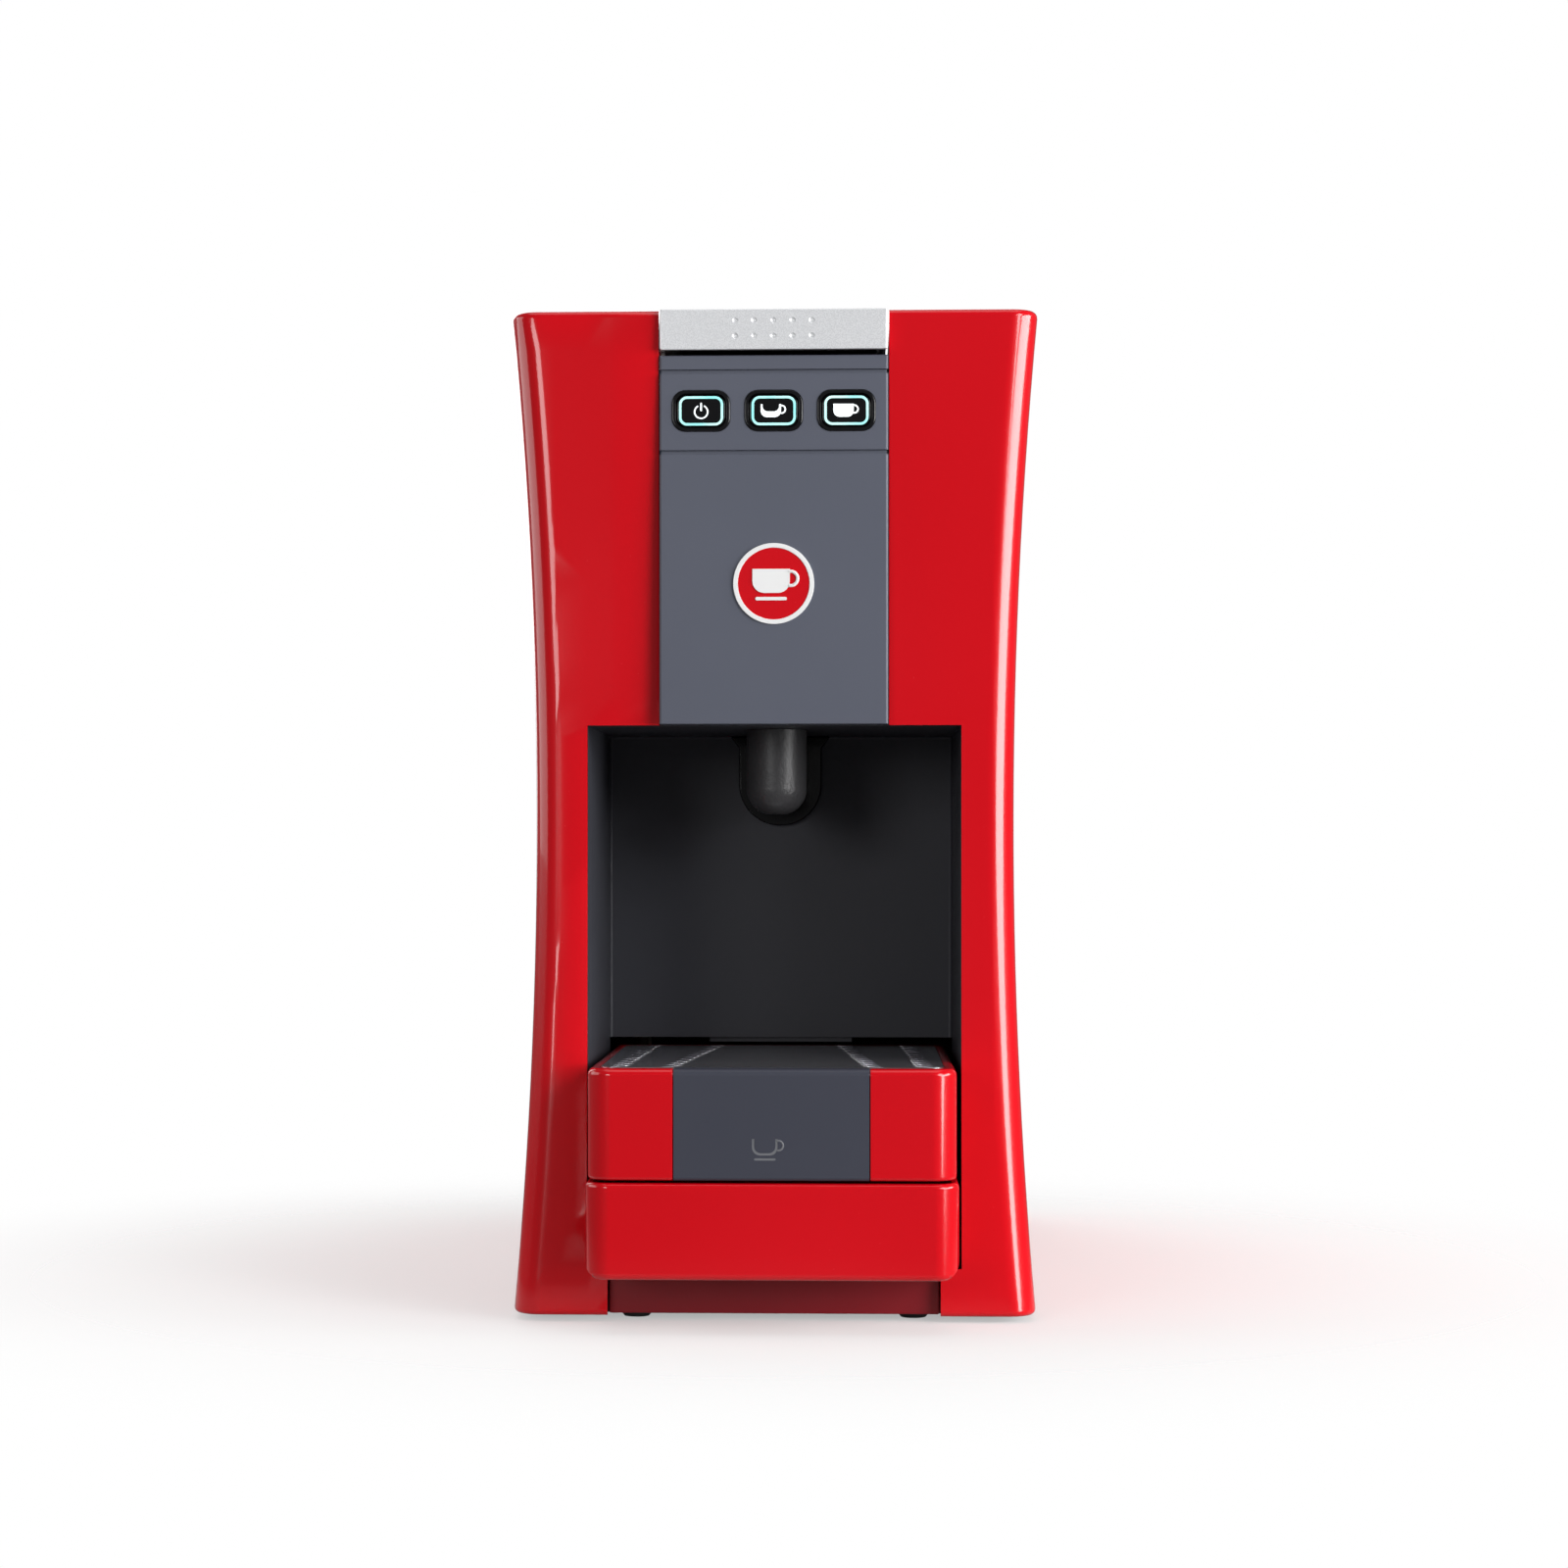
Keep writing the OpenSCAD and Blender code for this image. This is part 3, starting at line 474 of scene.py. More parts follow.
# Grained black plastic lifted well above the other black: the grain is its own, the lift is painted light on the
# nose.
NOSE_BLACK_PAINTED_LIGHT = moulded("nose_grain_painted_light", colour(0.036, 0.036, 0.038), colour(0.052, 0.051, 0.054),
                     rough=0.36, grain=700, depth=0.7)
GLOSS_BLACK = moulded("piano_black", colour(0.003, 0.003, 0.004), colour(0.006, 0.006, 0.007),
                      rough=0.10, grain=1800, depth=0.02)
RUBBER = moulded("rubber", grey(0.016), grey(0.030), rough=0.75, grain=500, depth=0.35)
NYLON = moulded("nylon", colour(0.66, 0.66, 0.63), colour(0.78, 0.78, 0.75),
                rough=0.45, grain=600, depth=0.1)
SILVER = silver_paint()
STEEL = brushed_metal("brushed_steel", colour(0.42, 0.42, 0.43), colour(0.60, 0.60, 0.61),
                      rough=0.26, stretch=(1, 14, 14))
GRID_STEEL = brushed_metal("polished_grid", colour(0.72, 0.72, 0.76), colour(0.82, 0.82, 0.86),
                           rough=0.14, stretch=(1, 18, 1))
ALLOY = brushed_metal("cast_alloy", colour(0.50, 0.50, 0.51), colour(0.66, 0.66, 0.67),
                      rough=0.42, stretch=(3, 3, 3))
LIGHT = lit_plastic("button_glow", colour(0.20, 0.66, 0.63), colour(0.52, 0.76, 0.73),
                    strength=0.72)
SIGN = lit_plastic("sign_glow", colour(0.80, 0.86, 0.88), colour(0.90, 0.95, 0.96), strength=0.75)
WHITE = moulded("print_white", grey(0.78), grey(0.88), rough=0.35, grain=900, depth=0.04)
SMOKED = smoked_plastic()
BOARD = circuit_board()

SLOT_FINISH = {"red_gloss": RED, "slate_satin": SLATE, "lever_silver": SILVER,
               "black_plastic": BLACK, "rubber": RUBBER, "steel": STEEL, "white_plastic": NYLON,
               "circuit_board": BOARD, "button_light": LIGHT, "smoked_clear": SMOKED,
               "medallion": WHITE, "heater_alloy": ALLOY}
SLOT_OF = {row["node"]: row["material_slot"] for row in frame["record"]["subparts"]}


def body_holding(node):
    bodies = frame["record"]["behaviour"]["bodies"]
    return next(name for name, nodes in bodies.items() if node in nodes)


def done(piece, finish, *nodes, stands_for=True):
    """Gives the piece its finish and body, and lets it stand for its CAD nodes."""
    piece.data.materials.clear()
    piece.data.materials.append(finish)
    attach(piece, body_holding(nodes[0]))
    if stands_for:
        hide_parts(*nodes)


# ---- side shells ------------------------------------------------------------------------------

def arc_depth(height, rise, sag):
    """How far an arc of that rise and sag has come out at a height from its middle."""
    radius = (rise * rise + sag * sag) / (2 * sag)
    return radius - math.sqrt(radius * radius - height * height)


def make_shells():
    """The right shell, waisted and hollow-fronted, and the left one as its mirror image."""
    wall = 2.4 * MM
    levels = 26
    flange = 14 * MM
    top_rim = 2.3 * MM
    foot_rim = 2 * MM
    side_rise = shell_hi.z - WAIST_Z
    side_sag = shell_hi.x - WAIST_HALF
    mid_z = (shell_lo.z + shell_hi.z) / 2
    front_rise = shell_hi.z - mid_z

    def side(z):
        return WAIST_HALF + arc_depth(z - WAIST_Z, side_rise, side_sag)

    def front(z):
        return shell_lo.y + FRONT_SAG - arc_depth(z - mid_z, front_rise, FRONT_SAG)

    shell = start_box("right_shell_skin", shell_lo, shell_hi)
    heights = [shell_lo.z + (shell_hi.z - shell_lo.z) * i / levels for i in range(levels + 1)]
    for z in heights[1:-1]:
        cut((0, 0, z), UP)
    for z in heights:
        choose("VERT", lambda v: near(v.co.z, z) and near(v.co.x, shell_hi.x))
        move(x=side(z) - shell_hi.x)
        choose("VERT", lambda v: near(v.co.z, z) and near(v.co.y, shell_lo.y))
        move(y=front(z) - shell_lo.y)

    # the two upright outer edges, then the rims of top and bottom
    choose_edges(lambda p, d: along(d.z) and near(p.x, side(p.z)))
    round_edges(EDGE_R, segments=10)
    for z, width in ((shell_hi.z, top_rim), (shell_lo.z, foot_rim)):
        choose_edges(lambda p, d: near(p.z, z) and not (near(p.x, shell_lo.x) and along(d.y)))
        round_edges(width, segments=4)

    # the shell is open towards the middle and below
    drop("FACE", lambda f: f.normal.x < -FLAT or f.normal.z < -FLAT)
    for x in (PLINTH_HALF, NICHE_HALF, BAY_HALF):
        cut((x, 0, 0), RIGHT)
    for z in (drawer_lo.z, NICHE_TOP):
        cut((0, 0, z), UP)
    cut((0, BAY_Y, 0), BACK)

    def in_opening(f):
        c = f.calc_center_median()
        ahead = c.y < liner_lo.y
        beside_niche = ahead and drawer_lo.z < c.z < NICHE_TOP and c.x < NICHE_HALF
        beside_plinth = ahead and c.z < drawer_lo.z and c.x < PLINTH_HALF
        over_tank = c.y > BAY_Y and c.x < BAY_HALF
        return beside_niche or beside_plinth or over_tank

    drop("FACE", in_opening)

    # a flange hangs from the top's inner edge and lines the lever's channel
    choose_edges(lambda p, d: near(p.z, shell_hi.z) and near(p.x, shell_lo.x) and along(d.y))
    bpy.ops.mesh.extrude_edges_move(TRANSFORM_OT_translate={"value": (0, 0, -flange)})
    apply_modifier(shell, "SOLIDIFY", thickness=wall, offset=-1, use_even_offset=True)
    soften(shell, 0.6 * MM)
    done(shell, RED, "right_shell")
    done(mirrored(shell, "left_shell_skin"), RED, "left_shell")


# ---- centre band and buttons ------------------------------------------------------------------

def button_middles():
    """Middle of each button's front, from left to right."""
    for name in ("power", "short", "long"):
        lo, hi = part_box("ring_" + name)
        yield name, Vector(((lo.x + hi.x) / 2, lo.y, (lo.z + hi.z) / 2))


def centred(name, middle, outline, y0, y1):
    """A slab of a rounded outline, from y0 to y1 behind a point, left in edit mode."""
    width, height, corner = outline
    half = Vector((width / 2, 0, height / 2))
    lo = middle - half + Vector((0, y0, 0))
    hi = middle + half + Vector((0, y1, 0))
    return rounded_slab(name, lo, hi, corner)


def make_panel():
    """The centre band: two grooves that run over its rounded sides, and three button openings."""
    groove_half = 0.7 * MM
    groove_depth = 1.3 * MM
    leaning_front = -0.2
    panel = start_box("front_band", panel_lo, panel_hi)
    choose_edges(lambda p, d: near(p.y, panel_lo.y) and (along(d.z) or near(p.z, panel_hi.z)))
    round_edges(0.9 * MM, segments=3)
    for z in GROOVES:
        for side in (-groove_half, groove_half):
            cut((0, 0, z + side), UP)
    choose("FACE", lambda f: f.normal.y < leaning_front
           and any(abs(f.calc_center_median().z - z) < groove_half for z in GROOVES))
    extrude(y=groove_depth)
    for name, middle in button_middles():
        carve(panel, centred("hole", middle, PANEL_HOLE, -5 * MM, 15 * MM))
    soften(panel, 0.25 * MM)
    done(panel, SLATE, "front_panel")


def cup_sign(middle, size, depth, fill):
    """A plain cup from the side: cup, handle and saucer. Below a fill of 1 its wall shows."""
    width, height, line = 5 * size, 3.2 * size, 0.45 * size
    saucer_half = 0.42 * width
    handle_r = 0.95 * size
    bottom_share = 0.62

    def bowl(label, inset, low, y0, y1, top):
        half = width / 2 - inset
        made = start_box(label, middle + Vector((-width / 2 + inset, y0, low)),
                         middle + Vector((half, y1, top)))
        choose_edges(lambda p, d: along(d.y) and near(p.z, middle.z + low))
        round_edges(half * bottom_share, segments=6)
        return made

    cup = bowl("cup", 0, 0, 0, depth, height)
    if fill < 1:
        floor = line + fill * (height - line)
        carve(cup, bowl("hollow", line, floor, -depth, 2 * depth, height + line))
    hub = middle + Vector((width / 2 + 0.1 * size, depth / 2, 0.6 * height))
    handle = start_ring("handle", hub, handle_r, line / 2, sides=24)
    drop("VERT", lambda v: v.co.x < middle.x + width / 2 - line / 2)
    cap_ends()
    saucer = rounded_slab("saucer", middle + Vector((-saucer_half, 0, -2.2 * line)),
                          middle + Vector((saucer_half, depth, -1.2 * line)), line * 0.45,
                          segments=3)
    leave()
    return cup, handle, saucer


def power_sign(name, middle, size, depth):
    """An open ring with a bar in its gap."""
    line = 0.26 * size
    gap_half = 0.75 * size
    ring = start_ring(name, middle + Vector((0, depth / 2, 0)), 1.95 * size, line, sides=40)
    drop("VERT", lambda v: abs(v.co.x - middle.x) < gap_half and v.co.z > middle.z)
    cap_ends()
    bar = rounded_slab("bar", middle + Vector((-line, 0, 0.2 * size)),
                       middle + Vector((line, depth, 2.7 * size)), line * 0.9, segments=3)
    return join(name, ring, bar)


def make_buttons():
    """A bezel, a cap on its stem, a lit outline and a lit sign for each button."""
    sunk = 0.15 * MM
    bezel_proud = 0.5 * MM
    cap_depth = 8 * MM
    stem_end = 11.8 * MM
    sign_proud = 0.1 * MM
    sign_depth = 0.4 * MM
    fill_of = {"short": 0.35, "long": 1}
    for name, middle in button_middles():
        face = middle + Vector((0, sunk, 0))
        bezel = centred("bezel_" + name, face, BEZEL, -bezel_proud, 6 * MM)
        choose_edges(lambda p, d: near(p.y, face.y - bezel_proud) and across(d.y))
        round_edges(0.5 * MM, segments=3)
        carve(bezel, centred("hole", face, BEZEL_HOLE, -3 * MM, 9 * MM))
        soften(bezel, 0.15 * MM)
        done(bezel, GLOSS_BLACK, "button_bezels", stands_for=name == "power")

        cap = centred("cap_" + name, face, CAP, 0, cap_depth)
        choose_edges(lambda p, d: near(p.y, face.y) and across(d.y))
        round_edges(0.45 * MM, segments=3)
        choose("FACE", lambda f: f.normal.y > FLAT)
        extrude(y=0.2 * MM)
        stem = start_rod("stem", face + Vector((0, cap_depth, 0)), face + Vector((0, stem_end, 0)),
                         1.5 * MM, sides=20)
        smooth(cap)
        done(join("cap_" + name, cap, stem), GLOSS_BLACK, "button_" + name)

        ring = centred("glow_" + name, face, GLOW, -0.12 * MM, 0.6 * MM)
        carve(ring, centred("hole", face, GLOW_HOLE, -3 * MM, 9 * MM))
        soften(ring, 0.08 * MM)
        if name == "power":
            sign = power_sign("sign_power", face + Vector((0, -sign_proud, -0.3 * MM)),
                              1.08 * MM, sign_depth)
        else:
            low = face + Vector((-0.9 * MM, -sign_proud, -2.1 * MM))
            cup, handle, saucer = cup_sign(low, 1.3 * MM, sign_depth, fill_of[name])
            bpy.data.objects.remove(saucer)
            sign = join("sign_" + name, cup, handle)
        done(ring, LIGHT, "ring_" + name)
        done(sign, SIGN, "ring_" + name, stands_for=False)


def make_emblem():
    """A round medallion: red disc, white rim, plain white cup."""
    disc_depth = 0.5 * MM
    rim_depth = 0.75 * MM
    rim_width = 1.5 * MM
    lo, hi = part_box("emblem")
    middle = Vector((0, hi.y, (lo.z + hi.z) / 2))
    radius = (hi.z - lo.z) / 2

    def round_plate(name, y0, y1, plate_r):
        return start_rod(name, middle + Vector((0, y0, 0)), middle - Vector((0, y1, 0)), plate_r,
                         sides=96)

    disc = round_plate("medal_disc", 0, disc_depth, radius - 0.6 * MM)
    soften(disc, 0.15 * MM)
    rim = round_plate("medal_rim", 0, rim_depth, radius)
    carve(rim, round_plate("hole", MM, 2 * MM, radius - rim_width))
    soften(rim, 0.2 * MM)
    low = middle + Vector((-0.8 * MM, -0.8 * MM, -3 * MM))
    cup = join("medal_cup", *cup_sign(low, 2.4 * MM, 0.5 * MM, 1))
    smooth(cup)
    done(disc, RED, "emblem")
    done(rim, WHITE, "emblem", stands_for=False)
    done(cup, WHITE, "emblem", stands_for=False)


# ---- lever and covers -------------------------------------------------------------------------

def make_lever():
    """Lip, top plate and the quarter barrel that hides the hinge."""
    plate = 3 * MM
    lip = 13 * MM
    barrel_turn = math.radians(65)
    dimple_r = 1.6 * MM
    dimple_out = 1.25 * MM
    lowest, pitch_x, pitch_z = 316.3, 6.15, 4.95
    under = lever_hi.z - plate
    lever = start_box("lever_skin", (lever_lo.x, lever_lo.y, under),
                      (lever_hi.x, PIVOT.y, lever_hi.z))
    cut((0, lever_lo.y + plate, 0), BACK)
    choose("FACE", lambda f: f.normal.z < -FLAT
           and f.calc_center_median().y < lever_lo.y + plate)
    extrude(z=lever_hi.z - lip - under)
    choose("FACE", lambda f: f.normal.y > FLAT and near(f.calc_center_median().y, PIVOT.y))
    bpy.ops.mesh.spin(steps=14, angle=barrel_turn, center=PIVOT, axis=(-1, 0, 0))
    dimples = []
    for column in range(-2, 3):
        for row in range(2):
            hold()
            place = (column * pitch_x * MM, lever_lo.y - dimple_out, (lowest + pitch_z * row) * MM)
            bpy.ops.mesh.primitive_uv_sphere_add(segments=24, ring_count=12, radius=dimple_r,
                                                 location=place)
            dimples.append(take_place(bpy.context.object, "dimple"))
    carve(lever, join("dimples", *dimples))
    soften(lever, 0.7 * MM, segments=3, angle=60)
    done(lever, SILVER, "lever_cover")


def make_top_cover():
    """The cover plate and its front wall, hollowed where the lever's barrel turns."""
    plate = 3 * MM
    front_wall = 5.5 * MM
    reach = 0.1
    cover = start_box("top_cover_skin", (cover_lo.x, cover_lo.y, cover_hi.z - plate), cover_hi)
    front = start_box("front_wall", cover_lo,
                      (cover_hi.x, cover_lo.y + front_wall, cover_hi.z - MM))
    carve(cover, front, "UNION")
    barrel_r = lever_hi.z - PIVOT.z + MM
    carve(cover, start_rod("barrel", (-reach, PIVOT.y, PIVOT.z), (reach, PIVOT.y, PIVOT.z),
                           barrel_r, sides=160))
    soften(cover, 0.7 * MM, segments=3)
    done(cover, SLATE, "top_cover")


# ---- drawer and cup stand ---------------------------------------------------------------------

def tray_block(name, lo, hi, top_round, low_round):
    """A block with rounded upright front edges and rounded rims, left in edit mode."""
    block = start_box(name, lo, hi)
    choose_edges(lambda p, d: near(p.y, lo[1]) and along(d.z))
    round_edges(8 * MM, segments=10)
    choose_edges(lambda p, d: near(p.z, hi[2]) and across(d.z))
    round_edges(top_round, segments=4)
    choose_edges(lambda p, d: near(p.z, lo[2]) and across(d.z))
    round_edges(low_round, segments=3)
    return block


def make_drawer():
    """The drip drawer: an open tray with round lower corners, and a tongue under its back."""
    wall = 2.5 * MM
    tongue_half = 40 * MM
    overlap = 8 * MM
    tray_hi = Vector((drawer_hi.x, liner_hi.y - 4 * MM, drawer_hi.z))
    drawer = tray_block("drawer_skin", drawer_lo, tray_hi, 1.6 * MM, 2.2 * MM)
    profile = start_box("profile", drawer_lo - Vector((0, MM, 0)), tray_hi + Vector((0, MM, MM)))
    choose_edges(lambda p, d: along(d.y) and near(p.z, drawer_lo.z))
    round_edges(6 * MM, segments=8)
    carve(drawer, profile, "INTERSECT")
    hollow_out(drawer, drawer_lo + Vector((wall, wall, wall)),
               tray_hi + Vector((-wall, -wall, MM)), 5 * MM)
    tongue = start_box("tongue", (-tongue_half, tray_hi.y - overlap, drawer_lo.z),
                       (tongue_half, drawer_hi.y, drawer_lo.z + wall))
    soften(drawer, 0.3 * MM, angle=55)
    soften(tongue, 0.5 * MM)
    done(join("drawer_skin", drawer, tongue), RED, "drawer")


def make_stand():
    """The red stand with its rim, and the grey insert that fills the gap in its front."""
    rim = 3.6 * MM
    recess = 2.2 * MM
    floor = 2 * MM
    depth = 7 * MM
    wall = 3 * MM
    inner_r = 5 * MM
    gap = 0.25 * MM
    well_side, well_front = 12 * MM, 14 * MM
    half = insert_hi.x
    block = tray_block("stand_skin", stand_lo, stand_hi, 2.2 * MM, 1.2 * MM)
    insert = copy_of(block, "insert_skin")
    bpy.ops.object.mode_set(mode="EDIT")
    cut((half, 0, 0), RIGHT, keep_inner=True)
    cut((-half, 0, 0), (-1, 0, 0), keep_inner=True)
    cut((0, stand_lo.y + depth, 0), BACK, keep_inner=True)
    carve(block, start_box("slot", (-half - gap, stand_lo.y - MM, stand_lo.z - MM),
                           (half + gap, stand_lo.y + depth + gap, stand_hi.z + MM)))

    # a recess for the grid, the room below its floor, and the well that joins them
    recess_z = stand_hi.z - recess
    hollow_out(block, (stand_lo.x + rim, stand_lo.y + rim, recess_z),
               (stand_hi.x - rim, stand_hi.y - rim, stand_hi.z + MM), inner_r)
    hollow_out(block, (stand_lo.x + wall, stand_lo.y + wall + depth, stand_lo.z - MM),
               (stand_hi.x - wall, stand_hi.y - wall, recess_z - floor), inner_r)
    hollow_out(block, (stand_lo.x + well_side, stand_lo.y + well_front, stand_lo.z),
               (stand_hi.x - well_side, stand_hi.y - well_side, stand_hi.z + MM), inner_r)
    soften(block, 0.3 * MM, angle=55)
    done(block, RED, "cup_stand")

    # the thin cup sign is cut a hair deep into the insert, and its lines are paler
    size = 1.6 * MM
    low = Vector((-2 * MM, insert_lo.y - 0.5 * MM, 56.5 * MM))
    for line in cup_sign(low, size, 0.75 * MM, 0):
        carve(insert, line)
    soften(insert, 0.35 * MM, segments=3)
    lines = join("insert_cup", *cup_sign(low + Vector((0, 0.6 * MM, 0)), size, 0.2 * MM, 0))
    done(insert, SLATE_LOW, "cup_stand_panel")
    done(lines, SLATE_PALE, "cup_stand_panel", stands_for=False)


def make_grid():
    """Polished plate with four rows of short leaning slots and a plain middle."""
    per_row = 12
    lean = math.radians(38)
    half_width, half_length, slot_r = 1.1 * MM, 4.5 * MM, 1.05 * MM
    inner_row, outer_row = (32 * MM, 22 * MM), (48 * MM, 44 * MM)
    plate = rounded_slab("grid_plate", grid_lo, grid_hi, 4.5 * MM, "Z", segments=6)
    slots = []
    for side in (-1, 1):
        for front_x, back_x in (inner_row, outer_row):
            for i in range(per_row):
                share = (i + 0.5) / per_row
                slot = rounded_slab("slot", (-half_width, -half_length, grid_lo.z - MM),
                                    (half_width, half_length, grid_hi.z + MM), slot_r, "Z",
                                    segments=4)
                leave()
                slot.rotation_euler = (0, 0, side * lean)
                slot.location = (side * (front_x + share * (back_x - front_x)),
                                 grid_lo.y + share * (grid_hi.y - grid_lo.y), 0)
                slots.append(take_place(slot, "slot"))
    carve(plate, join("slots", *slots))
    soften(plate, 0.25 * MM)
    done(plate, GRID_STEEL, "drip_grid")


def make_plinth():
    """The recessed strip under the drawer, open behind and below, its red darkened as painted shade."""
    plinth = start_box("plinth_skin", plinth_lo, plinth_hi)
    drop("FACE", lambda f: f.normal.y > FLAT or f.normal.z < -FLAT)
    apply_modifier(plinth, "SOLIDIFY", thickness=2.5 * MM, offset=-1)
    soften(plinth, 0.5 * MM)
    done(plinth, RED_SATIN_PAINTED_SHADE, "front_plinth")


# ---- niche ------------------------------------------------------------------------------------

def make_nose():
    """A round-ended drip nose with an arm back to the wall, its black lightened as painted light."""
    end_share = 0.86
    radius = (nose_hi.x - nose_lo.x) / 2
    y = nose_lo.y + radius
    low = nose_lo.z + 4 * MM
    nose = start_rod("nose_skin", (0, y, nose_lo.z), (0, y, nose_hi.z), radius)
    choose_edges(lambda p, d: near(p.z, nose_lo.z) and across(d.z))
    round_edges(radius * end_share, segments=12)
    arm = start_box("arm", (-radius + MM, y, low), (radius - MM, nose_hi.y, nose_hi.z))
    choose_edges(lambda p, d: along(d.y) and near(p.z, low))
    round_edges(radius - 1.2 * MM, segments=8)
    carve(nose, arm, "UNION")
    carve(nose, start_rod("outlet", (0, y, nose_lo.z - MM), (0, y, nose_lo.z + 12 * MM), 3 * MM,
                          sides=32))
    soften(nose, 0.4 * MM, angle=60)
    done(nose, NOSE_BLACK_PAINTED_LIGHT, "spout_nose")


def make_collar():
    """A flat U on the back wall, flared where it meets the ceiling."""
    half = 14.5 * MM
    flare = 4 * MM
    end_share = 0.98
    collar = start_box("collar_skin", (-half, collar_lo.y, collar_lo.z),
                       (half, collar_hi.y, collar_hi.z))
    cut((0, 0, collar_hi.z - flare), UP)
    for side in (1, -1):
        choose("VERT", lambda v: near(v.co.z, collar_hi.z) and v.co.x * side > 0)
        move(x=side * (collar_hi.x - half))
    choose_edges(lambda p, d: along(d.y) and near(p.z, collar_lo.z))
    round_edges(half * end_share, segments=12)
    soften(collar, 0.6 * MM, segments=3)
    done(collar, GLOSS_BLACK, "spout_collar")


def make_liner():
    """Side walls, ceiling and back wall round the niche, in slate darkened as painted shade."""
    wall = 2 * MM
    bin_top = 86 * MM
    duct_y = nose_lo.y + 10 * MM
    duct_r = 6 * MM
    back = liner_hi.y - wall
    half = liner_hi.x - wall
    ceiling = liner_hi.z - wall
    liner = start_box("liner_skin", liner_lo, liner_hi)
    room = start_box("room", (-half, liner_lo.y - MM, liner_lo.z - MM), (half, back, ceiling))
    choose_edges(lambda p, d: near(p.y, back) and (along(d.z) or near(p.z, ceiling)))
    round_edges(1.2 * MM, segments=3)
    carve(liner, room)
    carve(liner, start_box("door", (-half, back - MM, liner_lo.z - MM),
                           (half, liner_hi.y + MM, bin_top)))
    carve(liner, start_rod("hole", (0, duct_y, liner_hi.z - 3 * MM), (0, duct_y, liner_hi.z + MM),
                           duct_r))
    soften(liner, 0.3 * MM)
    done(liner, SLATE_NICHE_SHADE, "niche_liner")


# ---- tank -------------------------------------------------------------------------------------

def make_tank():
    """The open tank, with two lugs that hold the lid's pin."""
    wall = 2.2 * MM
    floor = 3 * MM
    lug_in, lug_out = 60 * MM, 66 * MM
    top = lid_lo.z - MM
    lug_top = pin_hi.z + 2 * MM
    tank = rounded_slab("tank_skin", tank_lo, (tank_hi.x, tank_hi.y, top), 7 * MM, "Z")
    choose_edges(lambda p, d: near(p.z, tank_lo.z) and across(d.z))
    round_edges(1.8 * MM, segments=3)
    hollow_out(tank, tank_lo + Vector((wall, wall, floor)),
               (tank_hi.x - wall, tank_hi.y - wall, top + MM), 4.8 * MM)
    lugs = []
    for side in (-1, 1):
        x0, x1 = sorted((side * lug_in, side * lug_out))
        lugs.append(start_box("lug", (x0, pin_hi.y - 4.5 * MM, top - 4 * MM),
                              (x1, tank_hi.y, lug_top)))
        choose_edges(lambda p, d: along(d.x) and near(p.z, lug_top))
        round_edges(3 * MM, segments=5)
    soften(tank, 0.4 * MM)
    done(join("tank_skin", tank, *lugs), SMOKED, "water_tank")


def make_lid():
    """Lid plate with a rounded hinge roll at its back and notches for the tank's lugs."""
    plate = 5 * MM
    roll_r, roll_half = 4 * MM, 59 * MM
    notch_in, notch_out = 59.2 * MM, 80 * MM
    notch_low, notch_high = 0.3, 0.34
    skirt_side, skirt_front, skirt_drop = 4 * MM, 3.5 * MM, 3 * MM
    axis_y = (pin_lo.y + pin_hi.y) / 2
    axis_z = (pin_lo.z + pin_hi.z) / 2
    under = lid_hi.z - plate
    lid = start_box("lid_skin", (lid_lo.x, lid_lo.y, under), (lid_hi.x, axis_y, lid_hi.z))
    choose_edges(lambda p, d: along(d.z) and near(p.y, lid_lo.y))
    round_edges(6.5 * MM, segments=6)
    hinge = start_rod("hinge", (-roll_half, axis_y, axis_z), (roll_half, axis_y, axis_z), roll_r,
                      sides=48)
    carve(lid, hinge, "UNION")
    for side in (-1, 1):
        x0, x1 = sorted((side * notch_in, side * notch_out))
        carve(lid, start_box("notch", (x0, axis_y - 6 * MM, notch_low),
                             (x1, axis_y + 20 * MM, notch_high)))
    skirt = start_box("skirt", (lid_lo.x + skirt_side, lid_lo.y + skirt_front, under - skirt_drop),
                      (lid_hi.x - skirt_side, axis_y - 8 * MM, under + 0.5 * MM))
    carve(lid, skirt, "UNION")
    soften(lid, 0.6 * MM, segments=3)
    done(lid, SMOKED, "tank_lid")


# ---- stage ------------------------------------------------------------------------------------

def make_camera():
    """Level camera a little right of the middle, shifted so that upright lines stay upright."""
    data = bpy.data.cameras.new("camera")
    data.lens = 78.4
    data.sensor_width = 36
    data.shift_x = 0.0386
    data.shift_y = 0.0469
    camera = bpy.data.objects.new("camera", data)
    camera.location = (0.0248, -1.250, 0.1492)
    camera.rotation_euler = (math.radians(90), 0, math.radians(2.14))
    bpy.context.scene.collection.objects.link(camera)
    bpy.context.scene.camera = camera


def softbox(name, place, width, height, watts):
    """A rectangular soft light that faces the machine's middle."""
    target = Vector((0, 0, 0.16))
    data = bpy.data.lights.new(name, "AREA")
    data.shape = "RECTANGLE"
    data.size = width
    data.size_y = height
    data.energy = watts
    lamp = bpy.data.objects.new(name, data)
    lamp.location = place
    lamp.rotation_euler = (target - Vector(place)).to_track_quat("-Z", "Z").to_euler()
    bpy.context.scene.collection.objects.link(lamp)


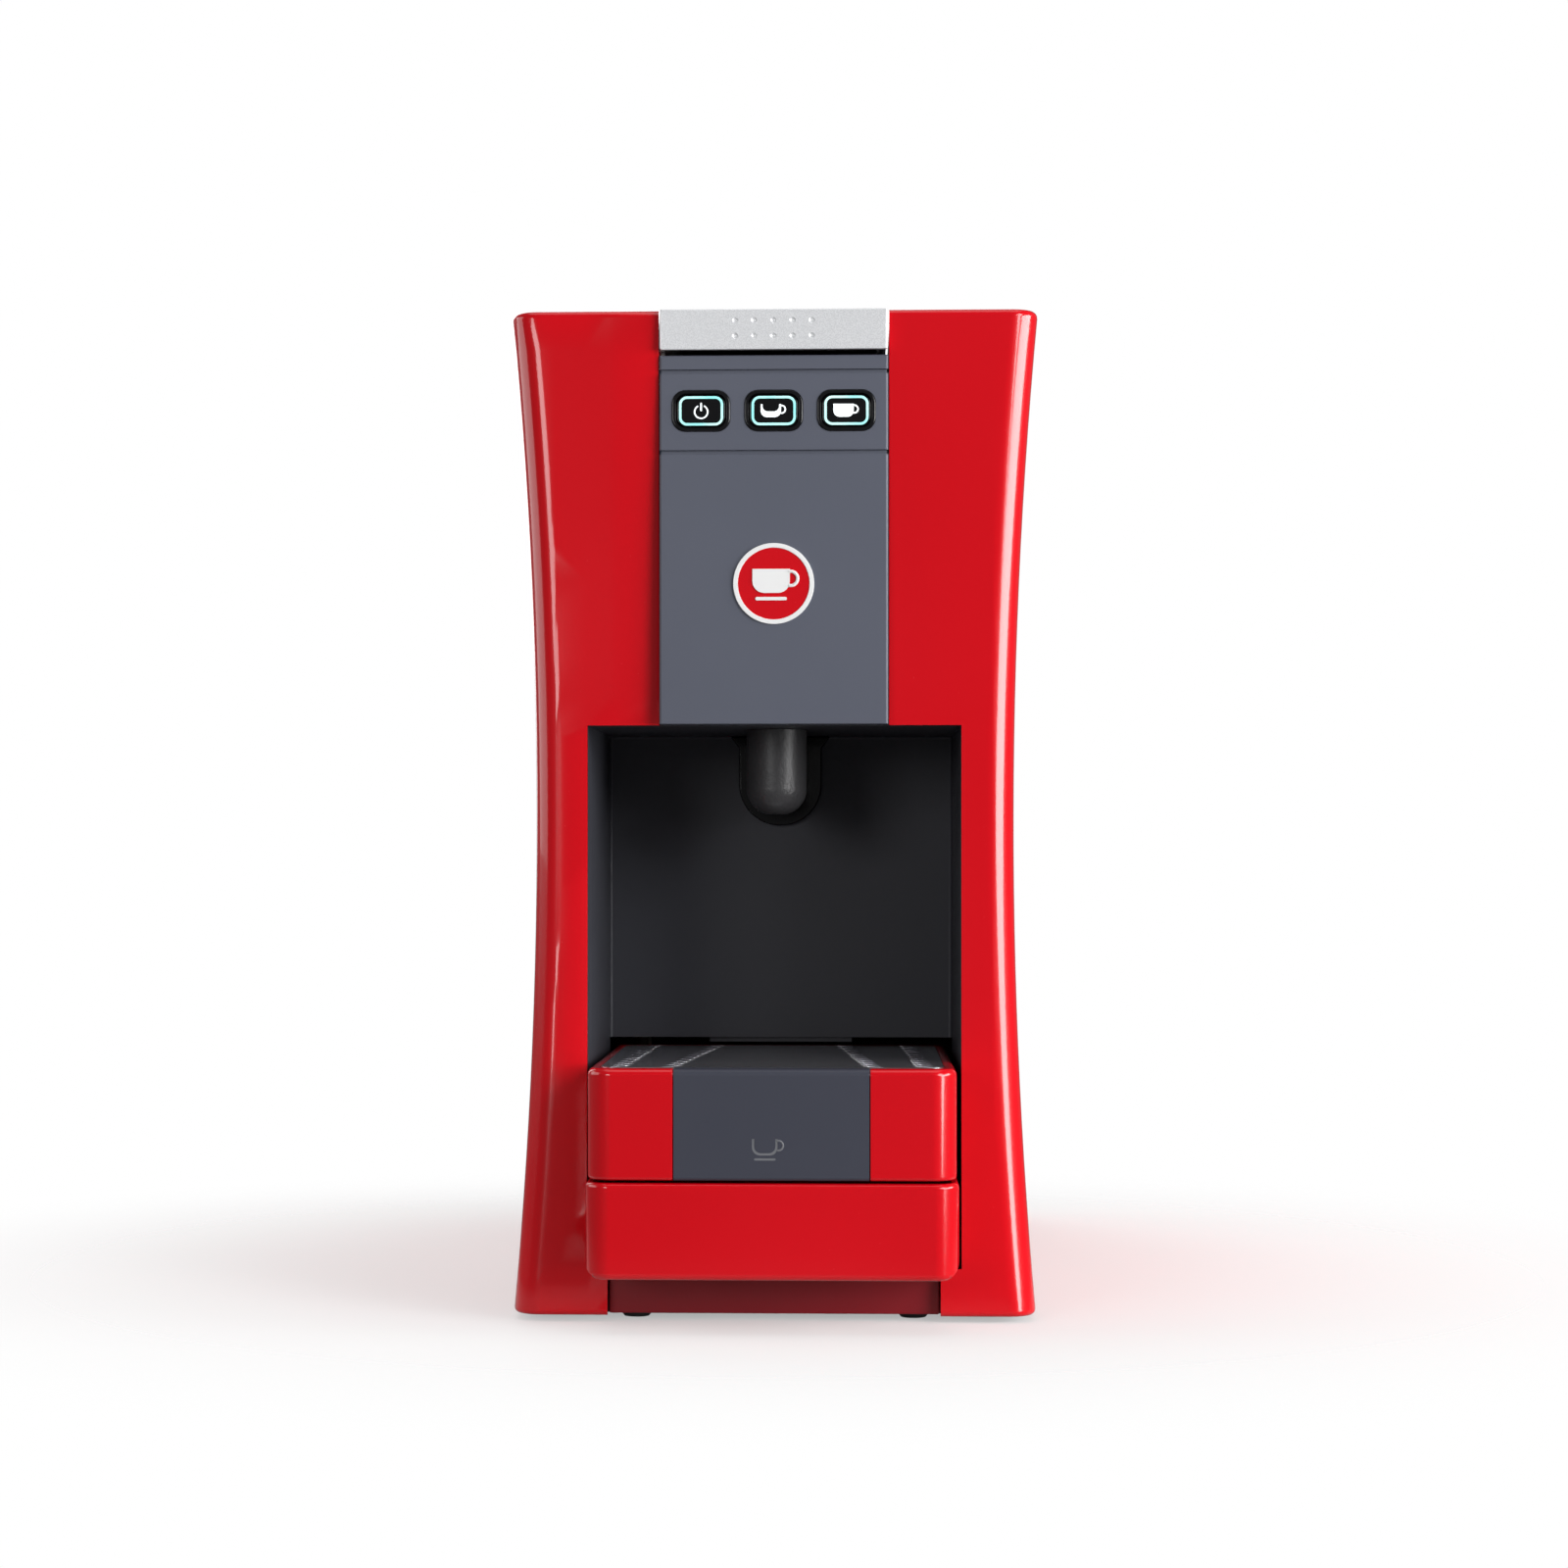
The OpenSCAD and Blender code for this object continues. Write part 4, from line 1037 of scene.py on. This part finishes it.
def make_stage():
    """A pale floor that fades out, six soft lights and a white backdrop."""
    hold()
    bpy.ops.mesh.primitive_plane_add(size=8)
    floor = take_place(bpy.context.object, "floor")
    f = Finish("pale_floor", Roughness=0.8, Specular_IOR_Level=0.1)
    reach = f.node("ShaderNodeVectorMath", {"operation": "LENGTH"}, {0: f.place}, 1)
    floor.data.materials.append(
        f.set(Alpha=f.spread(reach, low=0.12, high=0.40, low_out=0.6, high_out=0),
              Base_Color=f.mix(f.noise(scale=3), grey(0.90), grey(0.93))))
    for name, place, width, height, watts in (
            ("left_box", (-1.6, 0.0, 0.6), 0.9, 1.5, 10),
            ("right_box", (1.4, -0.6, 0.35), 0.4, 1.5, 26),
            ("key_box", (1.25, -1.45, 0.75), 0.6, 0.9, 18),
            ("fill_box", (-0.9, -2.2, 0.5), 0.6, 0.6, 8),
            ("top_box", (0.0, -0.15, 1.9), 1.6, 1.6, 9),
            ("back_box", (-0.6, 1.6, 0.9), 1.6, 1.2, 14)):
        softbox(name, place, width, height, watts)

    # the backdrop is white to the eye, and dimmer as a light
    world = bpy.context.scene.world or bpy.data.worlds.new("studio")
    bpy.context.scene.world = world
    world.use_nodes = True
    studio = Tree(world.node_tree)
    seen = studio.node("ShaderNodeLightPath", {}, {}, "Is Camera Ray")
    strength = studio.node("ShaderNodeMapRange", {}, {"Value": seen, "To Min": 0.14, "To Max": 1})
    background = studio.nodes["Background"].inputs
    background["Color"].default_value = grey(1)
    studio.links.new(strength.socket, background["Strength"])
    bpy.context.scene.view_settings.view_transform = "Standard"


def dress_cad():
    """The CAD pieces that stay get the finish of their slot, except the niche's liner and chute, in slate darkened
    as painted shade, and the grid in polished steel.
    """
    own = {"niche_liner": SLATE_NICHE_SHADE, "capsule_chute": SLATE_NICHE_SHADE, "drip_grid": GRID_STEEL}
    for node, piece in frame["nodes"].items():
        piece.data.materials.clear()
        piece.data.materials.append(own.get(node, SLOT_FINISH[SLOT_OF[node]]))


make_camera()
dress_cad()
make_shells()
make_panel()
make_buttons()
make_emblem()
make_lever()
make_top_cover()
make_drawer()
make_stand()
make_grid()
make_plinth()
make_nose()
make_collar()
make_liner()
make_tank()
make_lid()
make_stage()
